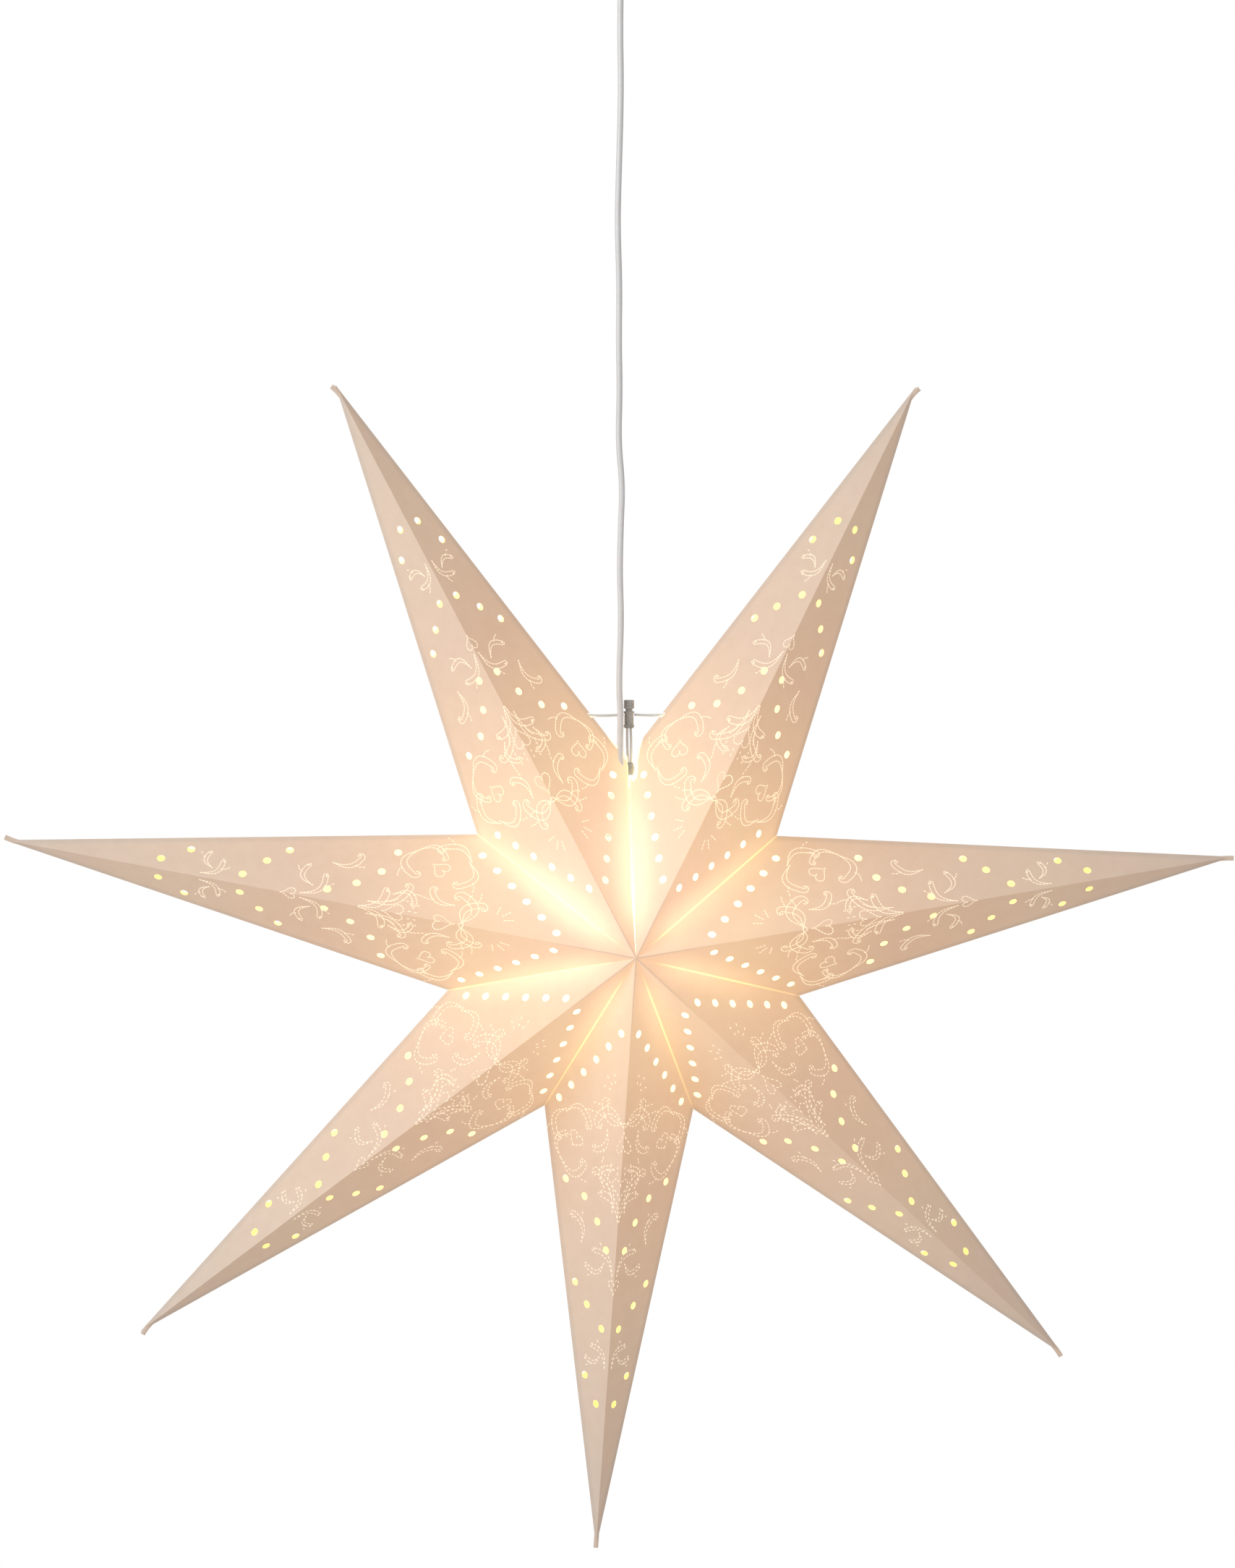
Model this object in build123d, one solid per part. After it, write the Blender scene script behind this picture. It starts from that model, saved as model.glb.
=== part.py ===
"""Lit paper star with seven folded arms, hung from the ceiling by its own lamp cable.

Millimetres, +Z up.  The origin is the middle of the ceiling plate's top face, where the
star is fastened.  The star's front looks along -Y.  Lengths inside the star are given from
the star's centre, which hangs STAR_DROP below the ceiling.

The star is 28 paper triangles.  Each arm has four: front and back, left and right of its
ridge, as seen from the front with the tip pointing up.  They meet at three kinds of crease:
the ridge along the middle of the arm, the rim where front and back meet, and the valley
between two arms.  The valley between the first and the last arm is an open slit, through
which the lampholder goes in.
"""
import os
from math import cos, radians, sin, sqrt, tan

from build123d import *

# ---- the paper star ----
# Directions in degrees clockwise from straight up, as seen from the front.  Hung by its slit,
# the star opens a little unevenly, so each ridge and each inner corner has its own.
ARM_DIRECTIONS = (27.6, 82.7, 133.9, 182.8, 231.5, 280.0, 332.7)
CORNER_DIRECTIONS = (55.3, 108.1, 158.3, 206.4, 255.3, 306.4)
TIP_RADIUS = 355.0          # star centre to the tip of an arm
CORNER_RADIUS = 105.0       # star centre to the inner corner between two arms
HALF_DEPTH = 65.0           # star centre to the front or the back apex
SLIT_WIDTH = 1.6            # open slit between the first and the last arm
PAPER = 0.3                 # thickness of the card
CREASE_GAP = 0.05           # from a fold line to the panel beside it
OPEN_EDGE_GAP = 0.45        # from the middle of a back ridge or back valley to the panel
APEX_TRIM_RADIUS = 3.0      # the points of the panels are cut back round the apexes
NOTCH_TOP_RADIUS = 115.0    # cable notch: distance from the centre to its outer corners
NOTCH_BOTTOM_RADIUS = 90.0  # and to the point where it runs out into the slit

# ---- tie string and cord lock ----
STRING_DIAMETER = 1.5
STRING_HEIGHT = 129.5       # above the star's centre
STRING_DEPTH = 2.4          # behind the middle plane, so that it passes behind the cable
STRING_HOLE = 2.6
STRING_SLOT = 6.2           # in the back panels the hole is this long, so that they can fold past it
KNOT_DIAMETER = 2.8
KNOT_INSIDE = 6.6           # from the rim of the arm to the knot
STRING_END_GAP = 0.1        # from the lock's wall to the string's end
LOCK_X = 1.9
LOCK_RADIUS = 3.0
LOCK_WALL = 0.9
LOCK_BASE = 122.0           # height of the barrel's lower end
LOCK_FLOOR = 1.2
LOCK_WAIST = 0.4            # the barrel is this much thinner between its two flanges
LOCK_FLANGE = 1.0
LOCK_BARREL_LENGTH = 9.4
LOCK_BUTTON_RADIUS = 3.0
LOCK_BUTTON_LENGTH = 4.8    # the part that stands out of the barrel
LOCK_TRAVEL = 1.6
LOCK_RUNNING_GAP = 0.08
LOCK_SPRING_WIRE = 0.4
LOCK_STEM_BELOW = 2.6       # from the string's height to the plunger's foot
LOCK_RIBS = 3
LOCK_RIB_DEPTH = 0.3
TAIL_SPACING = 2.0
TAIL_GAP = 0.2              # from the lock's floor to the tails
BELL_X = 2.1
BELL_DEPTH = 1.0            # behind the middle plane
BELL_HEIGHT = 99.0          # height of the middle of the cord end
BELL_LENGTH = 7.0
BELL_RADIUS = 2.6
BELL_FOOT_SHARE = 0.75      # radius of its foot and of its neck, as shares of the widest one
BELL_NECK_SHARE = 0.72

# ---- lampholder and bulb, on the star's axis ----
CAP_RADIUS = 14.0
CAP_WALL = 1.8
CAP_TOP = 87.0              # height of the face that the cable comes out of
CAP_TOP_RADIUS = 6.0
CAP_BASE = 62.0
ROOF_REST_GAP = 0.3         # from the cap's shoulder to the paper that rests on it
CAP_SEAM = 0.3              # between the cap and the skirt
SKIRT_BASE = 34.0
SKIRT_WALL = 1.6
SKIRT_LIP_GAP = 1.2         # from the skirt's lip to the bulb's neck
INSERT_GAP = 0.6            # from the insert to the cap round it
INSERT_RADIUS = CAP_RADIUS - CAP_WALL - INSERT_GAP
INSERT_TOP = 70.0
INSERT_BASE = 42.0
SOCKET_ROOM = 4.0           # above the bulb's tip, for the contact
HOLDER_SCREW_HEIGHT = 1.6
HOLDER_SCREW_RADIUS = 1.8
HOLDER_SCREW_X = 6.5
LEAF_SIZE = (7.0, 3.0, 0.5)
LEAF_FOOT = 0.6
SHELL_WALL = 0.4            # of the holder's screw shell
SHELL_GAP = 0.3             # from the shell to the bulb's base
SHELL_ROLL = 1.2            # by which its upper rim is rolled inwards
SHELL_ABOVE = 1.5           # from the bulb's tip to that rim
BASE_RADIUS = 6.9           # bulb's screw base
NECK_STEP = 0.9             # by which the bulb's neck is wider than its base
SHELL_RADIUS = BASE_RADIUS + SHELL_GAP + SHELL_WALL
BASE_TOP = 58.0
BASE_LENGTH = 21.0
THREADS = 5
THREAD_PITCH = 2.8
THREAD_DEPTH = 0.6
THREAD_START = 4.0
TIP_LENGTH = 2.2
TIP_FOOT_RADIUS = 3.6
TIP_RADIUS_AT_TOP = 1.8
BULB_RADIUS = 22.5
BULB_CENTRE = 3.0
GLASS = 0.9
STEM_RADIUS = 2.0
STEM_LENGTH = 24.0
FILAMENTS = 4
FILAMENT_RADIUS = 0.9
FILAMENT_SPREAD = (1.2, 9.0)  # distance from the axis at the upper and the lower end
FILAMENT_START = 20.0       # below the glass's top
FILAMENT_END = 8.0          # below the bulb's centre
CONTACT_GAP = 0.15

# ---- cable ----
CABLE_WIDTH = 5.2
CABLE_THICKNESS = 3.2
CABLE_HOLE_GAP = 0.4        # round the cable where it leaves the cap
GRIP_SIZE = (9.0, 13.0, 4.5)
GRIP_GAP = 0.1              # round the grip, where the cap's dome comes near it
CORE_RADIUS = 1.0
CORE_GAP = 0.1              # from the jacket, a screw or the terminal block to the core's end
# The cable's route above the star's centre, from inside the cap to above the ceiling cleat.
CABLE_ROUTE = [
    (0.0, 0.0, 77.0),
    (0.0, 0.0, 89.0),
    (-3.2, -1.2, 101.0),
    (-3.5, -1.5, 114.0),
    (-3.1, -1.4, 130.0),
    (-4.2, -1.3, 148.0),
    (-2.7, -1.3, 184.0),
    (-3.7, -1.1, 209.0),
    (-3.1, -1.2, 236.0),
    (-2.1, -1.3, 259.0),
    (-4.5, -1.2, 284.0),
    (-3.6, -1.1, 312.0),
    (-4.2, -1.2, 340.0),
    (-3.8, -1.3, 371.0),
    (-4.9, -1.2, 403.0),
    (-4.4, -1.1, 426.0),
    (-3.3, -1.2, 462.0),
    (-3.0, -1.1, 486.0),
    (-3.5, -1.2, 509.0),
    (-3.1, -1.3, 540.0),
    (-3.2, -1.2, 562.0),
    (-3.2, -1.2, 584.0),
]

# ---- ceiling fitting ----
STAR_DROP = 620.0           # ceiling to the star's centre
STAR_OFFSET = (3.2, 1.2)    # the cable hangs straight, this far in front and left of the centre
PLATE_RADIUS = 34.0
PLATE_THICKNESS = 2.0
SCREW_SPACING = 50.0
SCREW_HOLE_RADIUS = 2.2
CUP_RADIUS = 47.0
CUP_HEIGHT = 62.0
CUP_WALL = 1.6
CUP_MOUTH_GAP = 0.6         # from the ceiling to the cup's rim
CUP_FLOOR = 4.0             # width of the flat ring round the hole
CUP_SHOULDER = (0.8, 0.45)  # a point of its outline, as shares of its radius and height
COLLAR_RADIUS = 6.7
COLLAR_GAP = 0.3            # from the collar to the edge of the cup's hole
CUP_HOLE_RADIUS = COLLAR_RADIUS + COLLAR_GAP
COLLAR_HEIGHT = 14.0
COLLAR_FLANGE = 2.0
COLLAR_BORE_GAP = 1.8
GRUB_RADIUS = 1.5
GRUB_HEIGHT = 5.0           # above the collar's lower end
GRUB_GAP = 0.3              # from the screw to the cable
CLEAT_SIZE = (16.0, 12.0, 14.0)
CLEAT_TOP = -38.0           # measured from the ceiling
CLEAT_GAP = 0.05            # round the cable
CLEAT_SCREW_SIZE = (2.2, 1.8)  # radius and height of the heads
BRACKET_THICKNESS = 2.0
BRACKET_WIDTH = 12.0
BLOCK_SIZE = (20.0, 12.0, 14.0)
BLOCK_Y = 18.0
BLOCK_BORE = (1.8, 11.0)    # radius and depth of the holes for the wires
BLOCK_SCREW_SIZE = (1.8, 1.0)

UPWARDS = (Align.CENTER, Align.CENTER, Align.MIN)


def polar(angle, radius):
    """Point on the middle plane, at an angle clockwise from straight up."""
    return Vector(radius * sin(radians(angle)), 0, radius * cos(radians(angle)))


ARM_COUNT = len(ARM_DIRECTIONS)


def slit_side(arm, side):
    """Whether this half of an arm borders the open slit; side is -1 left, +1 right."""
    return (arm, side) in ((1, -1), (ARM_COUNT, 1))


def corner(arm, side):
    """Inner corner of an arm, on the middle plane, at the valley or at the slit."""
    if slit_side(arm, side):
        return Vector(-side * SLIT_WIDTH / 2, 0, CORNER_RADIUS)
    direction = CORNER_DIRECTIONS[arm - 1 if side > 0 else arm - 2]
    return polar(direction, CORNER_RADIUS)


def tip(arm):
    """Tip of an arm; arm 1 is the first one clockwise from the slit."""
    return polar(ARM_DIRECTIONS[arm - 1], TIP_RADIUS)


def apex(face):
    """Front apex for face -1, back apex for face +1."""
    return Vector(0, face * HALF_DEPTH, 0)


def meet(planes):
    """The point that three planes share; each plane is (unit normal, offset)."""
    (n1, d1), (n2, d2), (n3, d3) = planes
    return (n2.cross(n3) * d1 + n3.cross(n1) * d2 + n1.cross(n2) * d3) / n1.dot(n2.cross(n3))


def plane_facing_away(points, inside):
    """Plane through three points as (normal, offset), its normal pointing away from inside."""
    normal = (points[1] - points[0]).cross(points[2] - points[0]).normalized()
    if normal.dot(inside - points[0]) > 0:
        normal = normal * -1
    return normal, normal.dot(points[0])


def shifted(plane, distance):
    """The same plane, moved along its normal."""
    return plane[0], plane[1] + distance


def panel_planes(arm, side, face):
    """Outer face, inner face, ridge, rim and valley planes of one panel, facing out of it."""
    outer = plane_facing_away([tip(arm), apex(face), corner(arm, side)], Vector(0, 0, 0))
    inside = (tip(arm) + apex(face) + corner(arm, side)) / 3
    ridge = plane_facing_away([tip(arm), apex(-1), apex(1)], inside)
    rim = plane_facing_away([Vector(0, 0, 0), Vector(1, 0, 0), Vector(0, 0, 1)], inside)
    if slit_side(arm, side):
        valley = Vector(side, 0, 0), -SLIT_WIDTH / 2
    else:
        valley = plane_facing_away([corner(arm, side), apex(-1), apex(1)], inside)
    return outer, shifted(outer, -PAPER), ridge, rim, valley


def polyhedron(bottom, top):
    """Closed solid between two outlines with as many points each."""
    count = len(bottom)
    outlines = [bottom, top]
    for i in range(count):
        j = (i + 1) % count
        outlines.append([bottom[i], bottom[j], top[j], top[i]])
    return Solid(Shell([Face(Wire.make_polygon(points)) for points in outlines]))


def rod(start, end, radius):
    """Round rod between two points."""
    direction = end - start
    return extrude(Plane(start, z_dir=direction) * Circle(radius), direction.length)


def paper_panel(arm, side, face):
    """One paper triangle, mitred at its three edges, with its openings cut."""
    outer, inner, ridge, rim, valley = panel_planes(arm, side, face)
    edge_gap = CREASE_GAP if face < 0 else OPEN_EDGE_GAP
    ridge = shifted(ridge, -edge_gap)
    rim = shifted(rim, -CREASE_GAP)
    if not slit_side(arm, side):
        valley = shifted(valley, -edge_gap)
    outlines = [
        [meet([skin, ridge, rim]), meet([skin, rim, valley]), meet([skin, valley, ridge])]
        for skin in (outer, inner)
    ]
    panel = polyhedron(*outlines)
    panel -= Cylinder(APEX_TRIM_RADIUS, 3 * HALF_DEPTH, rotation=(90, 0, 0))
    if slit_side(arm, side):
        panel -= cable_notch()
        panel -= string_hole(STRING_HOLE if face < 0 else STRING_SLOT)
    return panel


def string_hole(length):
    """Cutter for the tie string's hole at the rim, lengthened downwards."""
    top = STRING_HEIGHT + STRING_HOLE / 2
    size = (2 * CORNER_RADIUS, STRING_HOLE + STRING_DEPTH, length)
    return Pos(0, STRING_DEPTH / 2, top - length) * Box(*size, align=UPWARDS)


def rim_point(height):
    """Half distance between the first and the last arm's rims at a height above the centre."""
    low, high = corner(1, -1), tip(1)
    return low.X + (high.X - low.X) * (height - low.Z) / (high.Z - low.Z)


NOTCH_HALF_WIDTH = rim_point(NOTCH_TOP_RADIUS)


def cable_notch():
    """Cutter for the notch at the top of the slit, wider than the rims beyond its corners."""
    reach = 3 * HALF_DEPTH
    with BuildPart() as cutter:
        with BuildSketch(Plane.XZ.offset(-reach / 2)):
            with BuildLine():
                Polyline(
                    (0, NOTCH_BOTTOM_RADIUS),
                    (NOTCH_HALF_WIDTH, NOTCH_TOP_RADIUS),
                    (-NOTCH_HALF_WIDTH, NOTCH_TOP_RADIUS),
                    close=True,
                )
            make_face()
        extrude(amount=reach)
    return cutter.part


def turned(points):
    """Solid of revolution about the star's vertical axis from (radius, height) points."""
    with BuildPart() as body:
        with BuildSketch(Plane.XZ):
            with BuildLine():
                Polyline(*points, close=True)
            make_face()
        revolve(axis=Axis.Z)
    return body.part


# ---- lampholder ----
ROOF_HEIGHT = CORNER_RADIUS * (1 - CAP_RADIUS / HALF_DEPTH)
SHOULDER_HEIGHT = ROOF_HEIGHT - ROOF_REST_GAP * CORNER_RADIUS / HALF_DEPTH - 2 * PAPER


def cable_section(plane, margin=0.0):
    """Flat twin cable's outline, its wide side along Y."""
    width, thickness = CABLE_WIDTH + 2 * margin, CABLE_THICKNESS + 2 * margin
    return plane * SlotOverall(width, thickness, rotation=90)


def lampholder_cap():
    """Domed cap whose shoulder carries the paper roof."""
    inner = CAP_RADIUS - CAP_WALL
    cap = turned([
        (0, CAP_TOP), (CAP_TOP_RADIUS, CAP_TOP), (CAP_RADIUS, SHOULDER_HEIGHT),
        (CAP_RADIUS, CAP_BASE), (inner, CAP_BASE), (inner, SHOULDER_HEIGHT - CAP_WALL),
        (CAP_TOP_RADIUS, CAP_TOP - 2 * CAP_WALL), (0, CAP_TOP - 2 * CAP_WALL),
    ])
    low = CABLE_ROUTE[0][2]
    width, depth, height = (size + 2 * GRIP_GAP for size in GRIP_SIZE)
    cap -= Pos(0, 0, low - GRIP_GAP) * Box(width, depth, height, align=UPWARDS)
    below = Plane.XY.offset(CAP_TOP - 3 * CAP_WALL)
    return cap - extrude(cable_section(below, CABLE_HOLE_GAP), 4 * CAP_WALL)


def cord_grip():
    """Clamp inside the cap that takes the cable's pull."""
    low = CABLE_ROUTE[0][2]
    block = Pos(0, 0, low) * Box(*GRIP_SIZE, align=UPWARDS)
    return block - extrude(cable_section(Plane.XY.offset(low - 1)), GRIP_SIZE[2] + 2)


def lampholder_insert():
    """Moulded core that holds the screw shell and the terminals."""
    shell = SHELL_RADIUS + CONTACT_GAP
    socket_top = BASE_TOP + SOCKET_ROOM
    return turned([
        (shell, INSERT_BASE), (INSERT_RADIUS, INSERT_BASE), (INSERT_RADIUS, INSERT_TOP),
        (0, INSERT_TOP), (0, socket_top), (shell, socket_top),
    ])


def screw_shell():
    """Brass thread shell of the lampholder, rolled over at its upper rim."""
    inner = SHELL_RADIUS - SHELL_WALL
    rolled = inner - SHELL_ROLL
    top = BASE_TOP + SHELL_ABOVE
    return turned([
        (inner, INSERT_BASE), (SHELL_RADIUS, INSERT_BASE), (SHELL_RADIUS, top),
        (rolled, top), (rolled, top - SHELL_WALL), (inner, top - SHELL_WALL),
    ])


def centre_contact():
    """Bent leaf that presses on the bulb's tip."""
    length, width, thickness = LEAF_SIZE
    low = BASE_TOP + CONTACT_GAP
    top = low + thickness
    leaf = Pos(0, 0, low) * Box(length, width, thickness, align=UPWARDS)
    foot_x = (length - LEAF_FOOT) / 2
    foot = Pos(foot_x, 0, top) * Box(LEAF_FOOT, width, BASE_TOP + SOCKET_ROOM - top, align=UPWARDS)
    return leaf + foot


def holder_screws():
    """The two terminal screws on top of the insert."""
    return [
        Pos(side * HOLDER_SCREW_X, 0, INSERT_TOP)
        * Cylinder(HOLDER_SCREW_RADIUS, HOLDER_SCREW_HEIGHT, align=UPWARDS)
        for side in (-1, 1)
    ]


def lampholder_skirt():
    """Lower sleeve, screwed to the cap from below."""
    inner = CAP_RADIUS - SKIRT_WALL
    lip = BASE_RADIUS + NECK_STEP + SKIRT_LIP_GAP
    top = CAP_BASE - CAP_SEAM
    return turned([
        (lip, SKIRT_BASE), (CAP_RADIUS, SKIRT_BASE), (CAP_RADIUS, top),
        (inner, top), (inner, SKIRT_BASE + SKIRT_WALL), (lip, SKIRT_BASE + SKIRT_WALL),
    ])


# ---- bulb ----
def bulb_base():
    """Threaded metal base of the bulb, with rolled threads."""
    low = BASE_TOP - BASE_LENGTH
    points = [(0, low), (BASE_RADIUS, low)]
    start = low + THREAD_START
    for _ in range(THREADS):
        root = (BASE_RADIUS - THREAD_DEPTH, start + THREAD_PITCH / 2)
        points += [(BASE_RADIUS, start), root]
        start += THREAD_PITCH
    top = BASE_TOP - TIP_LENGTH
    points += [(BASE_RADIUS, start), (TIP_FOOT_RADIUS + 1.3, top), (0, top)]
    return turned(points)


def bulb_tip():
    """Solder contact at the end of the base."""
    low = BASE_TOP - TIP_LENGTH
    return turned([(0, low), (TIP_FOOT_RADIUS, low), (TIP_RADIUS_AT_TOP, BASE_TOP), (0, BASE_TOP)])


def bulb_glass():
    """Hollow round bulb with a short neck."""
    neck = BASE_RADIUS + NECK_STEP
    top = BASE_TOP - BASE_LENGTH

    def outline(radius, neck_radius):
        rise = sqrt(radius ** 2 - neck_radius ** 2)
        with BuildSketch(Plane.XZ) as profile:
            with BuildLine():
                Line((0, BULB_CENTRE - radius), (0, top))
                Line((0, top), (neck_radius, top))
                Line((neck_radius, top), (neck_radius, BULB_CENTRE + rise))
                ThreePointArc(
                    (neck_radius, BULB_CENTRE + rise),
                    (radius, BULB_CENTRE),
                    (0, BULB_CENTRE - radius),
                )
            make_face()
        return revolve(profile.sketch, Axis.Z)

    return outline(BULB_RADIUS, neck) - outline(BULB_RADIUS - GLASS, neck - GLASS)


def filament_stem():
    """Glass stem with the light filaments round it."""
    top = BASE_TOP - BASE_LENGTH
    upper, lower = FILAMENT_SPREAD
    stem = Pos(0, 0, top - STEM_LENGTH) * Cylinder(STEM_RADIUS, STEM_LENGTH, align=UPWARDS)
    for i in range(FILAMENTS):
        angle = radians((i + 0.5) * 360 / FILAMENTS)
        outwards = Vector(cos(angle), sin(angle), 0)
        start = outwards * upper + Vector(0, 0, top - FILAMENT_START)
        end = outwards * lower + Vector(0, 0, BULB_CENTRE - FILAMENT_END)
        stem += rod(start, end, FILAMENT_RADIUS)
    return stem


# ---- tie string ----
def tie_string(side):
    """String from the cord lock to a knot inside an arm; side is -1 left, +1 right."""
    rim = rim_point(STRING_HEIGHT)
    knot = Vector(side * (rim + KNOT_INSIDE), STRING_DEPTH, STRING_HEIGHT)
    start = LOCK_X + side * (LOCK_RADIUS + STRING_END_GAP)
    string = rod(Vector(start, STRING_DEPTH, STRING_HEIGHT), knot, STRING_DIAMETER / 2)
    return string + Pos(knot) * Sphere(KNOT_DIAMETER / 2)


def at_lock(height=0.0):
    """Place on the cord lock's axis at a height above the star's centre."""
    return Pos(LOCK_X, STRING_DEPTH, height)


LOCK_BORE = LOCK_RADIUS - LOCK_WALL
LOCK_MOUTH = LOCK_BASE + LOCK_BARREL_LENGTH


def string_slot(travel):
    """Cutter along X for the string, lengthened upwards by a travel."""
    height = STRING_DIAMETER + 3 * STRING_END_GAP
    low = STRING_HEIGHT - height / 2
    return at_lock(low) * Box(4 * LOCK_RADIUS, height, height + travel, align=UPWARDS)


def cord_lock_barrel():
    """Round barrel with a foot flange, a blind bore from above and the string's hole."""
    waist = LOCK_RADIUS - LOCK_WAIST
    barrel = at_lock(LOCK_BASE) * Cylinder(waist, LOCK_BARREL_LENGTH, align=UPWARDS)
    for low in (LOCK_BASE + LOCK_FLANGE / 2, LOCK_MOUTH - LOCK_FLANGE):
        barrel += at_lock(low) * Cylinder(LOCK_RADIUS, LOCK_FLANGE, align=UPWARDS)
    bore = Cylinder(LOCK_BORE, LOCK_BARREL_LENGTH, align=UPWARDS)
    return barrel - at_lock(LOCK_BASE + LOCK_FLOOR) * bore - string_slot(0)


def cord_lock_button():
    """Spring-loaded plunger with a ribbed head."""
    stem_radius = LOCK_BORE - LOCK_RUNNING_GAP
    stem_low = STRING_HEIGHT - LOCK_STEM_BELOW
    head_low = LOCK_MOUTH + LOCK_TRAVEL + LOCK_RUNNING_GAP
    head_top = LOCK_MOUTH + LOCK_BUTTON_LENGTH + LOCK_TRAVEL
    head_radius = LOCK_BUTTON_RADIUS - LOCK_RIB_DEPTH
    button = at_lock(stem_low) * Cylinder(stem_radius, head_low - stem_low, align=UPWARDS)
    button += at_lock(head_low) * Cylinder(head_radius, head_top - head_low, align=UPWARDS)
    pitch = (head_top - head_low) / LOCK_RIBS
    for i in range(LOCK_RIBS):
        height = head_low + (i + 0.25) * pitch
        button += at_lock(height) * Cylinder(LOCK_BUTTON_RADIUS, pitch / 2, align=UPWARDS)
    return button - string_slot(LOCK_TRAVEL)


def cord_lock_spring():
    """Coil spring under the plunger, as the sleeve that it fills."""
    low = LOCK_BASE + LOCK_FLOOR
    outer = LOCK_BORE - 2 * LOCK_RUNNING_GAP
    inner = outer - LOCK_SPRING_WIRE
    high = STRING_HEIGHT - LOCK_STEM_BELOW
    sleeve = at_lock(low) * Cylinder(outer, high - low, align=UPWARDS)
    return sleeve - at_lock(low) * Cylinder(inner, high - low, align=UPWARDS)


def string_tails():
    """The two ends of the string, from the lock down to the cord end."""
    top = LOCK_BASE - TAIL_GAP
    low = BELL_HEIGHT + BELL_LENGTH / 2
    tails = []
    for side in (-1, 1):
        start = Vector(LOCK_X + side * TAIL_SPACING / 2, STRING_DEPTH, top)
        end = Vector(BELL_X + side * (STRING_DIAMETER / 2 + CREASE_GAP), BELL_DEPTH, low)
        tails.append(rod(start, end, STRING_DIAMETER / 2))
    return tails


def cord_end_bell():
    """Moulded cord end that keeps the tails together."""
    half = BELL_LENGTH / 2
    foot = (BELL_RADIUS * BELL_FOOT_SHARE, -half)
    neck = (BELL_RADIUS * BELL_NECK_SHARE, half - TAIL_GAP)
    with BuildPart() as bell:
        with BuildSketch(Plane.XZ):
            with BuildLine():
                Line((0, foot[1]), foot)
                ThreePointArc(foot, (BELL_RADIUS, -half / 3), neck)
                Line(neck, (0, neck[1]))
                Line((0, neck[1]), (0, foot[1]))
            make_face()
        revolve(axis=Axis.Z)
    return Pos(BELL_X, BELL_DEPTH, BELL_HEIGHT) * bell.part


# ---- cable ----
def mains_cable():
    """Flat twin cable from the cap to the ceiling cleat."""
    points = [Vector(*point) for point in CABLE_ROUTE]
    runs = [b - a for a, b in zip(points, points[1:])]
    radii = []
    for before, after in zip(runs, runs[1:]):
        turn = radians(before.get_angle(after))
        radii.append(0.45 * min(before.length, after.length) / tan(turn / 2))
    print("cable radii", [round(radius) for radius in radii])
    path = FilletPolyline(*points, radius=radii)
    cable = sweep(cable_section(Plane(points[0])), path=path)
    print("cable length", round(path.length, 1))
    expected = cable_section(Plane.XY).area * path.length
    print("volume over section times length", round(cable.volume / expected, 4))
    return cable


def cable_cores():
    """The two insulated cores at each end, from the cable's jacket to the terminals."""
    cores = []
    reach = CORE_RADIUS - CORE_GAP
    jacket_low = CABLE_ROUTE[0][2] - reach - 2 * CORE_GAP
    jacket_high = CABLE_ROUTE[-1][2] + reach + 2 * CORE_GAP
    screw_top = INSERT_TOP + HOLDER_SCREW_HEIGHT + CORE_RADIUS + CORE_GAP
    block_low = STAR_DROP - PLATE_THICKNESS - BLOCK_SIZE[2] - reach
    for side in (-1, 1):
        start = Vector(side * 0.4 * CORE_RADIUS, side * 1.4 * CORE_RADIUS, jacket_low)
        end = Vector(side * HOLDER_SCREW_X, side * 0.6 * CORE_RADIUS, screw_top)
        cores.append(rod(start, end, CORE_RADIUS))
        start = Vector(side * 1.3 * CORE_RADIUS, 0.6 * CORE_RADIUS, jacket_high)
        end = Vector(side * BLOCK_SIZE[0] / 4, BLOCK_Y, block_low)
        from_star = Vector(STAR_OFFSET[0], STAR_OFFSET[1], 0)
        cores.append(rod(start - from_star, end - from_star, CORE_RADIUS))
    return cores


# ---- ceiling fitting, in heights from the ceiling ----
def ceiling_plate():
    """Round plate with two screw holes and a bent bracket down to the cleat."""
    plate = Pos(0, 0, -PLATE_THICKNESS) * Cylinder(PLATE_RADIUS, PLATE_THICKNESS, align=UPWARDS)
    for side in (-1, 1):
        plate -= Pos(side * SCREW_SPACING / 2, 0, -2 * PLATE_THICKNESS) * Cylinder(
            SCREW_HOLE_RADIUS, 3 * PLATE_THICKNESS, align=UPWARDS
        )
    leg_y = -CLEAT_SIZE[1] / 2 - BRACKET_THICKNESS / 2
    low = CLEAT_TOP - CLEAT_SIZE[2]
    leg = Box(BRACKET_WIDTH, BRACKET_THICKNESS, -low - PLATE_THICKNESS, align=UPWARDS)
    return plate + Pos(0, leg_y, low) * leg


def cord_cleat():
    """Clamp block that carries the cable's pull into the bracket."""
    width, depth, height = CLEAT_SIZE
    low = CLEAT_TOP - height
    block = Pos(0, 0, low) * Box(width, depth, height, align=UPWARDS)
    return block - extrude(cable_section(Plane.XY.offset(low - 1), CLEAT_GAP), height + 2)


def cleat_screws():
    """Screws that close the cleat on the cable."""
    width, depth, height = CLEAT_SIZE
    radius, head = CLEAT_SCREW_SIZE
    seats = [Vector(side * width / 3, depth / 2, CLEAT_TOP - height / 2) for side in (-1, 1)]
    return [rod(seat, seat + Vector(0, head, 0), radius) for seat in seats]


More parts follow.
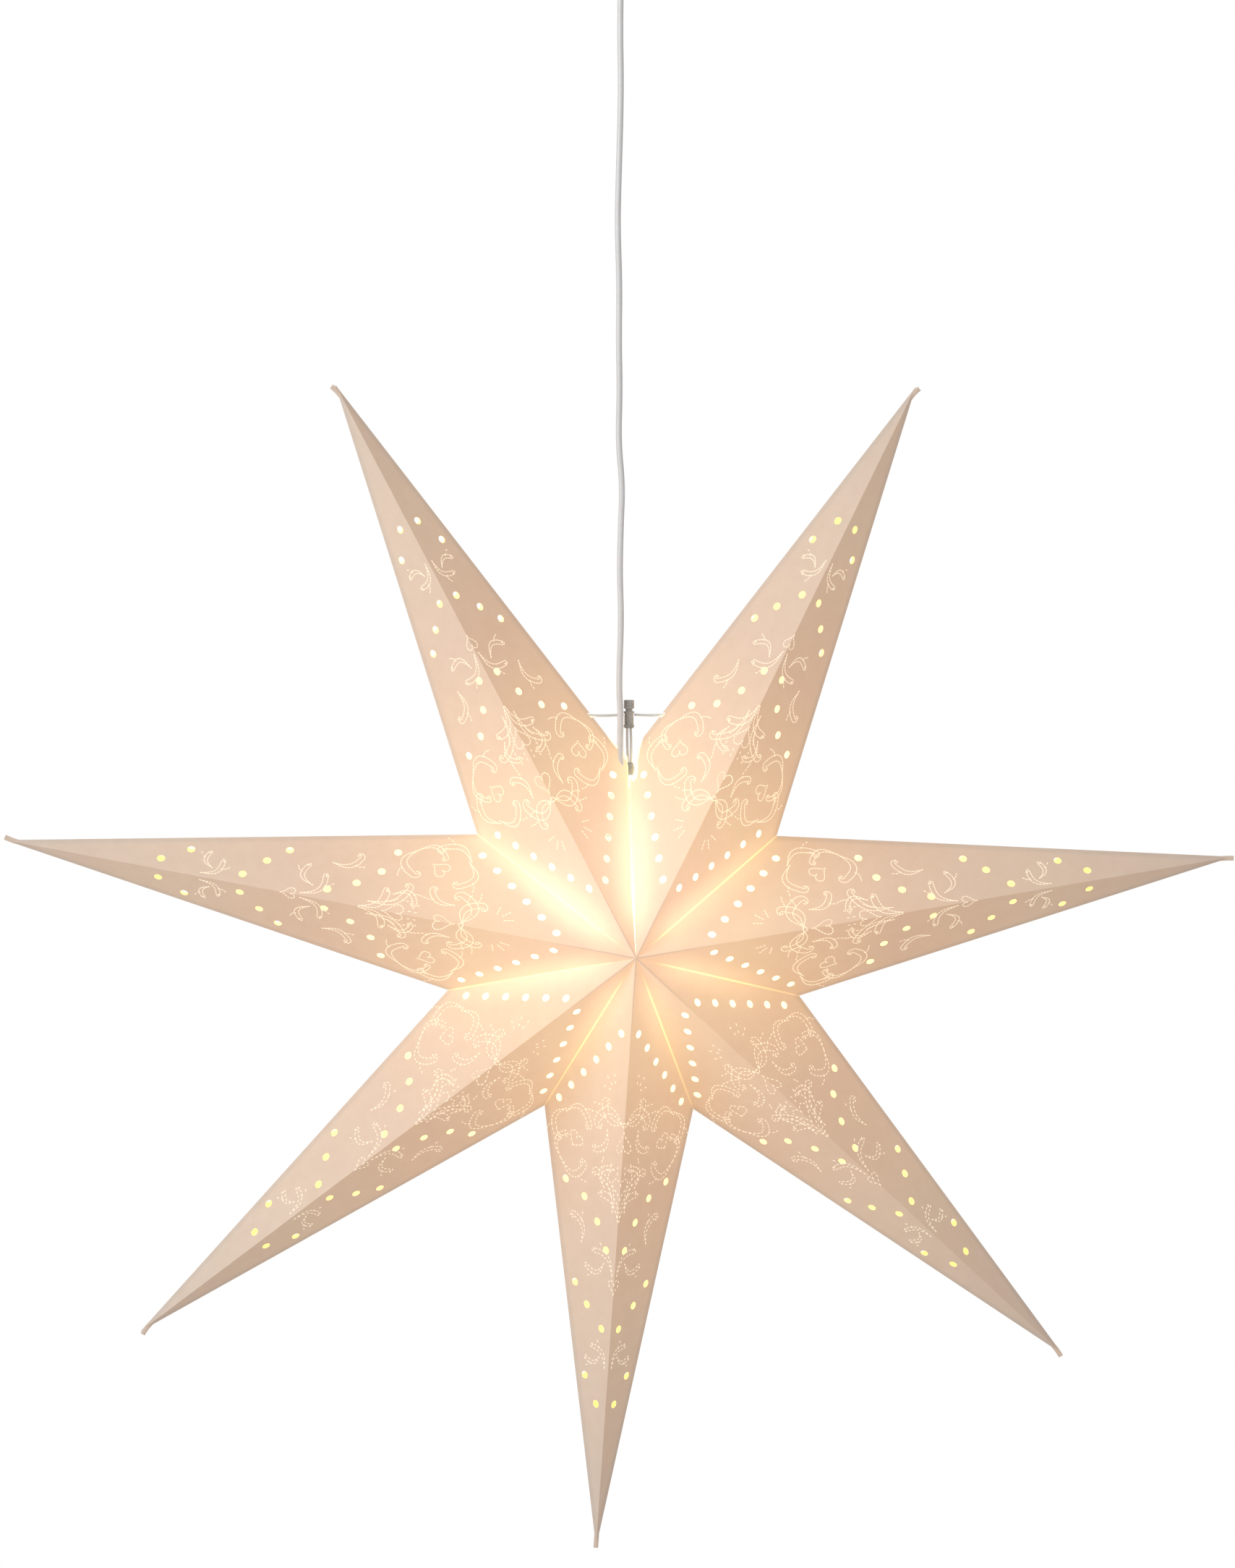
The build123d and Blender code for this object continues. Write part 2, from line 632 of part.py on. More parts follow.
def terminal_block():
    """Two-pole terminal block under the plate."""
    width, depth, height = BLOCK_SIZE
    low = -PLATE_THICKNESS - height
    block = Pos(0, BLOCK_Y, low) * Box(width, depth, height, align=UPWARDS)
    for side in (-1, 1):
        block -= Pos(side * width / 4, BLOCK_Y, low) * Cylinder(*BLOCK_BORE, align=UPWARDS)
    return block


def terminal_screws():
    """Slotted screws in the terminal block's side."""
    width, depth, height = BLOCK_SIZE
    radius, head = BLOCK_SCREW_SIZE
    y, z = BLOCK_Y + depth / 2, -PLATE_THICKNESS - height / 2
    seats = [Vector(side * width / 4, y, z) for side in (-1, 1)]
    return [rod(seat, seat + Vector(0, head, 0), radius) for seat in seats]


def ceiling_cup():
    """Cup that hides the fitting; it slides down the cable for wiring."""
    top = -CUP_MOUTH_GAP
    low = top - CUP_HEIGHT
    radius_share, height_share = CUP_SHOULDER
    floor = CUP_HOLE_RADIUS + CUP_FLOOR
    shoulder = (CUP_RADIUS * radius_share, low + height_share * CUP_HEIGHT)
    inner_shoulder = (shoulder[0] - 1.2 * CUP_WALL, shoulder[1] + 0.6 * CUP_WALL)
    with BuildPart() as cup:
        with BuildSketch(Plane.XZ):
            with BuildLine():
                Line((0, low), (floor, low))
                Spline((floor, low), shoulder, (CUP_RADIUS, top))
                Line((CUP_RADIUS, top), (CUP_RADIUS - CUP_WALL, top))
                Spline((CUP_RADIUS - CUP_WALL, top), inner_shoulder, (floor - 1, low + CUP_WALL))
                Line((floor - 1, low + CUP_WALL), (0, low + CUP_WALL))
                Line((0, low + CUP_WALL), (0, low))
            make_face()
        revolve(axis=Axis.Z)
    hole = Pos(0, 0, low - 1) * Cylinder(CUP_HOLE_RADIUS, 4 * CUP_WALL, align=UPWARDS)
    return cup.part - hole


COLLAR_TOP = -CUP_MOUTH_GAP - CUP_HEIGHT + CUP_WALL + COLLAR_FLANGE
COLLAR_LOW = COLLAR_TOP - COLLAR_HEIGHT


def cup_collar():
    """Flanged nylon collar in the cup's hole, gripping the cable by a grub screw."""
    flange_radius = CUP_HOLE_RADIUS + COLLAR_FLANGE
    collar = Pos(0, 0, COLLAR_LOW) * Cylinder(COLLAR_RADIUS, COLLAR_HEIGHT, align=UPWARDS)
    collar += Pos(0, 0, COLLAR_TOP - COLLAR_FLANGE) * Cylinder(
        flange_radius, COLLAR_FLANGE, align=UPWARDS
    )
    bore = cable_section(Plane.XY.offset(COLLAR_LOW - 1), COLLAR_BORE_GAP)
    collar -= extrude(bore, COLLAR_HEIGHT + 2)
    middle = COLLAR_LOW + GRUB_HEIGHT
    return collar - rod(Vector(0, -2 * COLLAR_RADIUS, middle), Vector(0, 0, middle), GRUB_RADIUS)


def cup_grub_screw():
    """Grub screw that holds the collar on the cable."""
    middle = COLLAR_LOW + GRUB_HEIGHT
    cable_face = CABLE_WIDTH / 2 + CLEAT_GAP + GRUB_GAP
    return rod(Vector(0, -COLLAR_RADIUS, middle), Vector(0, -cable_face, middle), GRUB_RADIUS)


def all_parts():
    """Every node by name, in the ceiling frame."""
    star = {}
    for arm in range(1, ARM_COUNT + 1):
        for face, face_name in ((-1, "front"), (1, "back")):
            for side, side_name in ((-1, "left"), (1, "right")):
                star[f"arm_{arm}_{face_name}_{side_name}"] = [paper_panel(arm, side, face)]
    star |= {
        "tie_string_left": [tie_string(-1)],
        "tie_string_right": [tie_string(1)],
        "cord_lock_barrel": [cord_lock_barrel()],
        "cord_lock_button": [cord_lock_button()],
        "cord_lock_spring": [cord_lock_spring()],
        "string_tails": string_tails(),
        "cord_end_bell": [cord_end_bell()],
        "lampholder_cap": [lampholder_cap()],
        "lampholder_cord_grip": [cord_grip()],
        "lampholder_insert": [lampholder_insert()],
        "lampholder_screw_shell": [screw_shell()],
        "lampholder_centre_contact": [centre_contact()],
        "lampholder_terminal_screws": holder_screws(),
        "lampholder_skirt": [lampholder_skirt()],
        "bulb_base": [bulb_base()],
        "bulb_tip_contact": [bulb_tip()],
        "bulb_glass": [bulb_glass()],
        "bulb_filaments": [filament_stem()],
        "mains_cable": [mains_cable()],
        "cable_cores": cable_cores(),
    }
    down = Pos(*STAR_OFFSET, -STAR_DROP)
    parts = {name: [down * solid for solid in solids] for name, solids in star.items()}
    parts |= {
        "ceiling_plate": [ceiling_plate()],
        "cord_cleat": [cord_cleat()],
        "cleat_screws": cleat_screws(),
        "terminal_block": [terminal_block()],
        "terminal_screws": terminal_screws(),
        "ceiling_cup": [ceiling_cup()],
        "cup_collar": [cup_collar()],
        "cup_grub_screw": [cup_grub_screw()],
    }
    return parts


os.makedirs("parts", exist_ok=True)
for name, solids in all_parts().items():
    shape = solids[0] if len(solids) == 1 else Compound(children=solids)
    shape.label = name
    export_step(shape, f"parts/{name}.step")
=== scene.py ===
"""Folded paper star lantern, lit from inside and hung from the ceiling by its lamp cable.

Metres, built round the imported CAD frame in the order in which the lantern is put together:
ceiling fitting, cable, lampholder, bulb, paper star, tie string, then the room it is seen in.
"""
from math import cos, pi, radians, sin

import bpy
from mathutils import Matrix, Vector


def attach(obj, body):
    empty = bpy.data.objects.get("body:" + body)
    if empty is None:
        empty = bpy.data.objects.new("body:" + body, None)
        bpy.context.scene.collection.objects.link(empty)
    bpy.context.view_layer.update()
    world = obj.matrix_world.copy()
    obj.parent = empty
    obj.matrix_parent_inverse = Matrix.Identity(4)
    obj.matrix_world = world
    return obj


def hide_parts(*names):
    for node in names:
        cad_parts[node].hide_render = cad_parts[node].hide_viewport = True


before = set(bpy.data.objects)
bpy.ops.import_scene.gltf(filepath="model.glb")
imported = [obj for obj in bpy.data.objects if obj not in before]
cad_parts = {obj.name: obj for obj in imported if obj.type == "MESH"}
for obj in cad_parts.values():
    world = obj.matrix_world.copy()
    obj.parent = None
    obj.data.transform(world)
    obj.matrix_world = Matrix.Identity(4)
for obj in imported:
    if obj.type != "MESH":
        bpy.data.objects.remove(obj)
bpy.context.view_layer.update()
scene = bpy.context.scene


# ---- ceiling fitting ----
# A pressed plate screwed to the ceiling, with a bent leg and a nylon cleat that take the
# cable's pull, a terminal block, and a painted steel cup on a nylon collar that hides it all.
def put(tree, kind, wires=None, **settings):
    """Add a node; wires give its inputs a value or another node's output."""
    node = tree.nodes.new(kind)
    for name, value in settings.items():
        setattr(node, name, value)
    for key, value in (wires or {}).items():
        if isinstance(value, bpy.types.NodeSocket):
            tree.links.new(value, node.inputs[key])
        else:
            node.inputs[key].default_value = value
    return node


def compute(tree, operation, *values, use_clamp=False):
    """Result of a sum on numbers."""
    return put(tree, "ShaderNodeMath", dict(enumerate(values)), operation=operation,
               use_clamp=use_clamp).outputs[0]


def times(tree, first, second):
    """Product of two numbers."""
    return compute(tree, "MULTIPLY", first, second)


def scaled(tree, vector, amount):
    """Vector times a number."""
    return put(tree, "ShaderNodeVectorMath", {0: vector, 3: amount}, operation="SCALE").outputs[0]


def ease(tree, value, low, high, bottom=0.0, top=1.0):
    """Smooth step from bottom to top as the value goes from low to high."""
    return put(tree, "ShaderNodeMapRange",
               {"Value": value, "From Min": low, "From Max": high,
                "To Min": bottom, "To Max": top},
               interpolation_type="SMOOTHSTEP").outputs[0]


def new_group(name, kind, inputs, outputs):
    """Node group with named sockets; inputs are (name, kind, default)."""
    tree = bpy.data.node_groups.new(name, kind)
    for label, socket, default in inputs:
        made = tree.interface.new_socket(label, in_out="INPUT", socket_type="NodeSocket" + socket)
        if default is not None:
            made.default_value = default
    for label, socket in outputs:
        tree.interface.new_socket(label, in_out="OUTPUT", socket_type="NodeSocket" + socket)
    return tree, tree.nodes.new("NodeGroupInput").outputs, tree.nodes.new("NodeGroupOutput").inputs


COLOUR_MIX = {"data_type": "RGBA", "clamp_factor": True}
MIX_A, MIX_B, MIX_RESULT = 6, 7, 2  # a Mix node's colour sockets

surface_grain, grain_in, grain_out = new_group(
    "surface_grain", "ShaderNodeTree",
    [
        ("Base", "Color", (0.8, 0.8, 0.8, 1)), ("Shade", "Color", (0.6, 0.6, 0.6, 1)),
        ("Size", "Float", 0.001), ("Stretch", "Vector", (1, 1, 1)),
        ("Roughness", "Float", 0.4), ("Roughness Spread", "Float", 0.1),
        ("Relief", "Float", 0.00002),
    ],
    [("Color", "Color"), ("Roughness", "Float"), ("Normal", "Vector")],
)
place = put(surface_grain, "ShaderNodeTexCoord").outputs["Object"]
stretched = put(surface_grain, "ShaderNodeVectorMath", {0: place, 1: grain_in["Stretch"]},
                operation="MULTIPLY").outputs[0]
frequency = compute(surface_grain, "DIVIDE", 1.0, grain_in["Size"])
fine = put(surface_grain, "ShaderNodeTexNoise",
           {"Vector": stretched, "Scale": frequency, "Detail": 4.0}).outputs["Fac"]
broad_frequency = times(surface_grain, frequency, 0.07)
broad = put(surface_grain, "ShaderNodeTexNoise",
            {"Vector": place, "Scale": broad_frequency, "Detail": 2.0}).outputs["Fac"]
blend = times(surface_grain, fine, broad)
shade = put(surface_grain, "ShaderNodeMapRange",
            {"Value": blend, "From Min": 0.12, "From Max": 0.42}).outputs[0]
coloured = put(surface_grain, "ShaderNodeMix",
               {0: shade, MIX_A: grain_in["Base"], MIX_B: grain_in["Shade"]}, **COLOUR_MIX)
surface_grain.links.new(coloured.outputs[MIX_RESULT], grain_out["Color"])
spread = compute(surface_grain, "MULTIPLY_ADD", fine, grain_in["Roughness Spread"],
                 grain_in["Roughness"])
surface_grain.links.new(spread, grain_out["Roughness"])
relief = put(surface_grain, "ShaderNodeBump",
             {"Height": fine, "Distance": grain_in["Relief"], "Strength": 0.6}).outputs[0]
surface_grain.links.new(relief, grain_out["Normal"])


def finish(name, base, shade, size=0.001, stretch=(1, 1, 1), roughness=0.4, spread=0.12,
           relief=0.00002, **plain):
    """Principled material on the shared grain; plain values go straight to the shader."""
    material = bpy.data.materials.new(name)
    material.use_nodes = True
    tree = material.node_tree
    shader = tree.nodes["Principled BSDF"]
    grain = put(tree, "ShaderNodeGroup", node_tree=surface_grain)
    values = {"Base": (*base, 1), "Shade": (*shade, 1), "Size": size, "Stretch": stretch,
              "Roughness": roughness, "Roughness Spread": spread, "Relief": relief}
    for label, value in values.items():
        grain.inputs[label].default_value = value
    tree.links.new(grain.outputs["Color"], shader.inputs["Base Color"])
    tree.links.new(grain.outputs["Roughness"], shader.inputs["Roughness"])
    tree.links.new(grain.outputs["Normal"], shader.inputs["Normal"])
    for label, value in plain.items():
        shader.inputs[label.replace("_", " ")].default_value = value
    return material


def dress(material, *nodes):
    """Give CAD nodes a material."""
    for node in nodes:
        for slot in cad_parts[node].material_slots:
            slot.material = material


cup_paint = finish("cup_white_paint", (0.82, 0.82, 0.80), (0.76, 0.76, 0.74), size=0.0012,
                   roughness=0.28, relief=0.00003, Coat_Weight=0.3, Coat_Roughness=0.15)
plate_zinc = finish("plate_galvanised", (0.58, 0.59, 0.60), (0.40, 0.41, 0.43), size=0.006,
                    roughness=0.34, spread=0.2, Metallic=1.0)
nylon = finish("collar_nylon", (0.84, 0.83, 0.79), (0.76, 0.75, 0.70), roughness=0.42,
               Subsurface_Weight=0.1, Subsurface_Scale=0.002)
screw_steel = finish("screw_steel", (0.62, 0.61, 0.60), (0.42, 0.42, 0.43), size=0.0006,
                     stretch=(1, 1, 6), roughness=0.26, Metallic=1.0)
core_sleeve = finish("core_insulation", (0.33, 0.42, 0.62), (0.24, 0.30, 0.50),
                     roughness=0.45)
dress(cup_paint, "ceiling_cup")
dress(plate_zinc, "ceiling_plate")
dress(nylon, "cord_cleat", "cup_collar", "terminal_block")
dress(screw_steel, "cleat_screws", "terminal_screws", "cup_grub_screw")
dress(core_sleeve, "cable_cores")


# ---- cable ----
# White flat twin flex, 5.2 by 3.2 mm, with a groove between its two cores. It comes out of the
# lampholder's cap, leaves the star through the notch and hangs, tight, from the ceiling cleat.
STAR_CENTRE = Vector((0.0032, 0.0012, -0.620))
CABLE_ROUTE = [
    (0.0, 0.0, 0.077), (0.0, 0.0, 0.089), (-0.0032, -0.0012, 0.101),
    (-0.0035, -0.0015, 0.114), (-0.0031, -0.0014, 0.130), (-0.0042, -0.0013, 0.148),
    (-0.0027, -0.0013, 0.184), (-0.0037, -0.0011, 0.209), (-0.0031, -0.0012, 0.236),
    (-0.0021, -0.0013, 0.259), (-0.0045, -0.0012, 0.284), (-0.0036, -0.0011, 0.312),
    (-0.0042, -0.0012, 0.340), (-0.0038, -0.0013, 0.371), (-0.0049, -0.0012, 0.403),
    (-0.0044, -0.0011, 0.426), (-0.0033, -0.0012, 0.462), (-0.0030, -0.0011, 0.486),
    (-0.0035, -0.0012, 0.509), (-0.0031, -0.0013, 0.540), (-0.0032, -0.0012, 0.562),
    (-0.0032, -0.0012, 0.584),
]
CORE_RADIUS = 0.0016
CORE_OFFSET = 0.0010            # from the flex's middle to the middle of each core
LOBE_HALF_ANGLE = radians(128.7)
LOBE_STEPS = 12

route = bpy.data.curves.new("cable_route", "CURVE")
route.dimensions = "3D"
route.resolution_u = 12
spline = route.splines.new("NURBS")
spline.points.add(len(CABLE_ROUTE) - 1)
for point, stop in zip(spline.points, CABLE_ROUTE):
    point.co = (*(STAR_CENTRE + Vector(stop)), 1)
spline.order_u = 3
spline.use_endpoint_u = True
route_object = bpy.data.objects.new("cable_route", route)
scene.collection.objects.link(route_object)
route_mesh = bpy.data.meshes.new_from_object(route_object)
cable_path = [vertex.co.copy() for vertex in route_mesh.vertices]
bpy.data.objects.remove(route_object)

flex_section = []
for lobe in (1, -1):
    for step in range(LOBE_STEPS + 1):
        angle = LOBE_HALF_ANGLE * (1 - 2 * step / LOBE_STEPS) * lobe
        across = CORE_RADIUS * sin(angle) * lobe
        flex_section.append((across * lobe, lobe * (CORE_OFFSET + CORE_RADIUS * cos(angle))))


def swept(name, path, section, wide_side):
    """Closed tube of one section along a path, its second axis kept along the wide side."""
    verts, faces = [], []
    count = len(section)
    for i, here in enumerate(path):
        along = (path[min(i + 1, len(path) - 1)] - path[max(i - 1, 0)]).normalized()
        wide = (wide_side - along * wide_side.dot(along)).normalized()
        thin = wide.cross(along)
        verts += [here + thin * x + wide * y for x, y in section]
    for i in range(len(path) - 1):
        for j in range(count):
            k = (j + 1) % count
            low, high = i * count, (i + 1) * count
            faces.append((low + j, low + k, high + k, high + j))
    faces.append(tuple(reversed(range(count))))
    faces.append(tuple(range(len(verts) - count, len(verts))))
    mesh = bpy.data.meshes.new(name)
    mesh.from_pydata(verts, [], faces)
    mesh.shade_smooth()
    mesh.set_sharp_from_angle(angle=radians(50))
    piece = bpy.data.objects.new(name, mesh)
    scene.collection.objects.link(piece)
    return piece


cable = swept("mains_flex", cable_path, flex_section, Vector((0, 1, 0)))
flex_white = finish("flex_white_pvc", (0.80, 0.80, 0.80), (0.74, 0.74, 0.745), size=0.004,
                    roughness=0.30, spread=0.12, relief=0.00002, Specular_IOR_Level=0.6,
                    Subsurface_Weight=0.1, Subsurface_Scale=0.001)
cable.data.materials.append(flex_white)
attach(cable, "hanging_light")
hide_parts("mains_cable")


# ---- lampholder ----
# White moulded holder: a domed cap that the paper rests on and a screwed skirt, over a
# porcelain-white insert with a brass thread shell, a leaf contact and two terminal screws.
holder_white = finish("holder_white_plastic", (0.80, 0.79, 0.76), (0.74, 0.73, 0.70),
                      size=0.0008, roughness=0.34, relief=0.00001)
holder_core = finish("holder_core_ceramic", (0.78, 0.76, 0.72), (0.70, 0.68, 0.63),
                     size=0.0005, roughness=0.5)
brass = finish("contact_brass", (0.72, 0.52, 0.24), (0.48, 0.34, 0.16), size=0.003,
               roughness=0.25, spread=0.2, Metallic=1.0)
dress(holder_white, "lampholder_cap", "lampholder_skirt", "lampholder_cord_grip")
dress(holder_core, "lampholder_insert")
dress(brass, "lampholder_screw_shell", "lampholder_centre_contact")
dress(screw_steel, "lampholder_terminal_screws")


# ---- bulb ----
# Small frosted filament bulb with a rolled nickel thread and a solder tip, screwed up into the
# holder. Its glass is the lantern's only light, a warm yellow white.
bulb_nickel = finish("bulb_base_nickel", (0.70, 0.69, 0.66), (0.50, 0.49, 0.47), size=0.002,
                     stretch=(1, 1, 4), roughness=0.24, Metallic=1.0)
frosted = finish("bulb_frosted_glass", (0.95, 0.93, 0.88), (0.90, 0.87, 0.80), size=0.0004,
                 roughness=0.55, Transmission_Weight=0.4,
                 Emission_Color=(1.0, 0.80, 0.50, 1), Emission_Strength=5.0)
filament = finish("filament_glow", (0.95, 0.75, 0.40), (0.85, 0.60, 0.30), roughness=0.5,
                  Emission_Color=(1.0, 0.68, 0.30, 1), Emission_Strength=8.0)
dress(bulb_nickel, "bulb_base", "bulb_tip_contact")
dress(frosted, "bulb_glass")
dress(filament, "bulb_filaments")


# ---- paper star ----
# Twenty-eight triangles of white translucent card, creased along ridges, rims and valleys.
# Each is punched with four rows of round holes and embossed with dashed borders of scrolls;
# the glow of the bulb comes through the card and fades from yellow white to peach at the tips.
ARM_DIRECTIONS = (27.6, 82.7, 133.9, 182.8, 231.5, 280.0, 332.7)
CORNER_DIRECTIONS = (55.3, 108.1, 158.3, 206.4, 255.3, 306.4)
TIP_RADIUS = 0.355
CORNER_RADIUS = 0.105
HALF_DEPTH = 0.065
SLIT_HALF_WIDTH = 0.0008        # at its outer end, between the first and the last arm
CARD = 0.0003                   # thickness
FRONT_CREASE_GAP = 0.0
BACK_CREASE_GAP = 0.0001
NOTCH = [  # the cable's notch across both slit halves, as seen from the front
    (0.0026, 0.0930), (0.0046, 0.0948), (0.0054, 0.0985), (0.0058, 0.1040), (0.0073, 0.1100),
    (0.0093, 0.1150), (0.0112, 0.1200), (-0.0080, 0.1200), (-0.0056, 0.1150),
    (-0.0034, 0.1110), (-0.0015, 0.1065), (-0.0004, 0.0990), (0.0006, 0.0948),
]
STRING_HEIGHT = 0.1295
STRING_DEPTH = 0.0024
STRING_HOLE = 0.0026            # in the front halves; in the back halves it is a longer slot
STRING_SLOT = 0.0062
STRING_TOP = STRING_HEIGHT + STRING_HOLE / 2
SLIT_BOW = 0.0005               # by which the slit's edges part low down and close in higher up
SLIT_LEAN = 0.0024              # and by which its upper end leans to the right
SLIT_LENGTH = 0.106
SLIT_RAMPS = ((0.14, 0.32), (0.62, 0.36), (0.42, 0.76))  # parts, ends parting, closes in
SLIT_MARGIN = 0.012             # width of the card that is bent along with the slit's edge
HOLE_RADIUS = 0.00225
DASH_LENGTH = 0.0019
DASH_WIDTH = 0.00062
DASH_HEIGHT = 0.00018
DASH_PITCH = 0.0025
SOLID_DASH_PITCH = 0.0018       # shorter than a dash, so that the line closes up
SOLID_LINED_ARMS = (1, 2, 6, 7)  # embossed deeper than the lower three
WAVINESS = 0.0011
WAVE_FREQUENCY = 26.0
WAVE_FREE_EDGE = (0.0006, 0.016)  # the waves grow over this distance from the creases
FINENESS = 5                    # times that each triangle is subdivided
WELD = 0.000002
PUNCH_DEPTH = 0.004
HOLE_ROWS = [  # (first hole, last hole) along the ridge's frame: (out from it, from the apex)
    [(7.2, 46.3), (16.1, 56.6), (25.0, 67.0), (34.0, 77.3), (42.9, 87.7), (51.8, 98.0)],
    [(42.7, 144.7), (27.2, 150.5), (15.9, 162.2), (7.8, 177.1)],
    [(30.2, 204.2), (19.8, 214.7), (7.4, 225.5)],
    [(17.9, 258.0), (7.7, 272.6)],
]
MILLI = 0.001
HEART_STEPS, SCROLL_STEPS, CURL_STEPS = 24, 16, 18


def heart(middle, size, turn=0.0, whole=True):
    """Heart outline in the ridge's frame, its point towards the tip before it is turned."""
    points = []
    for step in range((HEART_STEPS if whole else HEART_STEPS // 2) + 1):
        t = 2 * pi * step / HEART_STEPS
        x = 16 * sin(t) ** 3
        y = 13 * cos(t) - 5 * cos(2 * t) - 2 * cos(3 * t) - cos(4 * t)
        x, y = x * size / 32, -y * size / 32
        c, s = cos(turn), sin(turn)
        points.append((middle[0] + x * c - y * s, middle[1] + x * s + y * c))
    return points


def scroll(start, end, bow, curl, turns):
    """Tendril from start to end, bowed sideways and rolled up at its end."""
    points = []
    along = (end[0] - start[0], end[1] - start[1])
    for step in range(SCROLL_STEPS + 1):
        t = step / SCROLL_STEPS
        lift = bow * sin(pi * t)
        points.append((start[0] + along[0] * t - along[1] * lift,
                       start[1] + along[1] * t + along[0] * lift))
    heading = Vector(points[-1]) - Vector(points[-2])
    heading.normalize()
    side = Vector((-heading.y, heading.x)) * (1 if curl > 0 else -1)
    centre = Vector(points[-1]) + side * abs(curl)
    arm = -side
    for step in range(1, CURL_STEPS + 1):
        t = step / CURL_STEPS
        turn = 2 * pi * turns * t * (1 if curl > 0 else -1)
        radius = abs(curl) * (1 - 0.62 * t)
        spoke = Vector((arm.x * cos(turn) - arm.y * sin(turn),
                        arm.x * sin(turn) + arm.y * cos(turn)))
        points.append(tuple(centre + spoke * radius))
    return points


def tendril(start, end, bow, curl, width, turns=0.6):
    """Both outlines of a pointed leaf that ends in a small curl, and a barb on its outer side."""
    line = [Vector(point) for point in scroll(start, end, bow, curl, turns)]
    sides = ([], [], [])
    for i, here in enumerate(line):
        ahead = line[min(i + 1, len(line) - 1)] - line[max(i - 1, 0)]
        normal = Vector((-ahead.y, ahead.x)).normalized()
        half = width / 2 * sin(pi * (i / (len(line) - 1)) ** 0.65) ** 2.2
        outer = 1.7 if bow > 0 else 0.2
        sides[0].append(tuple(here + normal * half * outer))
        sides[1].append(tuple(here - normal * half * (1.9 - outer)))
        if i == len(line) // 3:
            out = normal if bow > 0 else -normal
            root = here + out * half * 1.7
            ahead = ahead.normalized()
            sides[2].extend(tuple(root + out * width * 1.1 * t + ahead * width * 0.9 * t * t)
                            for t in (0, 0.25, 0.5, 0.75, 1.0))
    return sides


EMBOSSED = [
    # first border: a heart and two scrolls that face the lamp, one of each that face the tip,
    # and a heart held by a scroll near the rim
    heart((0.0, 110.0), 12.0, pi, whole=False),
    *tendril((0.5, 98.0), (15.0, 90.0), 0.30, -1.6, 4.3),
    *tendril((1.0, 100.0), (20.0, 103.0), -0.34, 2.2, 4.6),
    *tendril((13.0, 106.0), (21.0, 119.0), 0.20, -1.2, 3.3),
    heart((0.0, 137.0), 12.5, 0.0, whole=False),
    *tendril((0.6, 157.0), (15.0, 146.0), -0.24, -1.6, 4.3),
    *tendril((5.0, 152.5), (19.5, 133.0), -0.20, 1.5, 3.6),
    *tendril((13.0, 140.0), (9.0, 128.0), 0.35, -1.0, 2.6),
    heart((36.5, 118.5), 10.5, -0.5),
    *tendril((46.0, 103.0), (50.5, 121.0), -0.28, 1.4, 3.6),
    *tendril((45.0, 104.0), (27.5, 107.0), 0.34, -1.5, 3.6),
    *tendril((47.0, 134.0), (30.0, 132.0), -0.34, 1.6, 4.0),
    *tendril((48.0, 133.0), (45.0, 118.0), 0.3, -1.1, 2.6),
    # second border
    heart((0.0, 197.0), 8.5, 0.0, whole=False),
    *tendril((2.0, 190.5), (17.0, 181.0), -0.25, -1.4, 3.0),
    *tendril((9.0, 186.0), (22.0, 190.0), 0.30, 1.2, 2.6),
    *tendril((27.0, 178.0), (34.5, 164.0), -0.22, 1.4, 3.0),
    # third border
    *tendril((3.0, 248.0), (14.0, 239.0), -0.25, -1.1, 2.6),
    *tendril((8.0, 243.5), (18.0, 246.0), 0.25, 1.0, 2.3),
    # sparks
    [(9.0, 76.0), (10.0, 72.0)],
    [(12.0, 77.5), (15.0, 74.5)],
    [(13.0, 81.0), (17.0, 80.5)],
    [(3.0, 129.0), (3.0, 125.5)],
    [(6.0, 127.5), (8.0, 125.0)],
]


def polar(angle, radius):
    """Point on the middle plane, at an angle clockwise from straight up."""
    return Vector((radius * sin(radians(angle)), 0, radius * cos(radians(angle))))


def borders_slit(arm, side):
    """Whether this half of an arm is beside the open slit."""
    return (arm, side) in ((1, -1), (len(ARM_DIRECTIONS), 1))


def outline(arm, side, face):
    """Apex, tip and inner corner of one triangle."""
    if borders_slit(arm, side):
        corner = Vector((-side * SLIT_HALF_WIDTH, 0, CORNER_RADIUS))
    else:
        corner = polar(CORNER_DIRECTIONS[arm - 1 if side > 0 else arm - 2], CORNER_RADIUS)
    return Vector((0, face * HALF_DEPTH, 0)), polar(ARM_DIRECTIONS[arm - 1], TIP_RADIUS), corner


def facing_away(points, inside):
    """Plane through three points as (normal, offset), facing away from inside."""
    normal = (points[1] - points[0]).cross(points[2] - points[0]).normalized()
    if normal.dot(inside - points[0]) > 0:
        normal = -normal
    return normal, normal.dot(points[0])


def meet(first, second, third):
    """The point that three planes share."""
    rows = Matrix((first[0], second[0], third[0]))
    return rows.inverted() @ Vector((first[1], second[1], third[1]))


def moved(plane, distance):
    """The same plane, moved along its normal."""
    return plane[0], plane[1] + distance


def stored(tree, geometry, name, value, data_type, domain="POINT"):
    """Geometry with a named attribute."""
    return put(tree, "GeometryNodeStoreNamedAttribute",
               {0: geometry, "Name": name, "Value": value},
               data_type=data_type, domain=domain).outputs[0]


def named(tree, name, data_type):
    """Value of a named attribute."""
    return put(tree, "GeometryNodeInputNamedAttribute", {"Name": name},
               data_type=data_type).outputs[0]


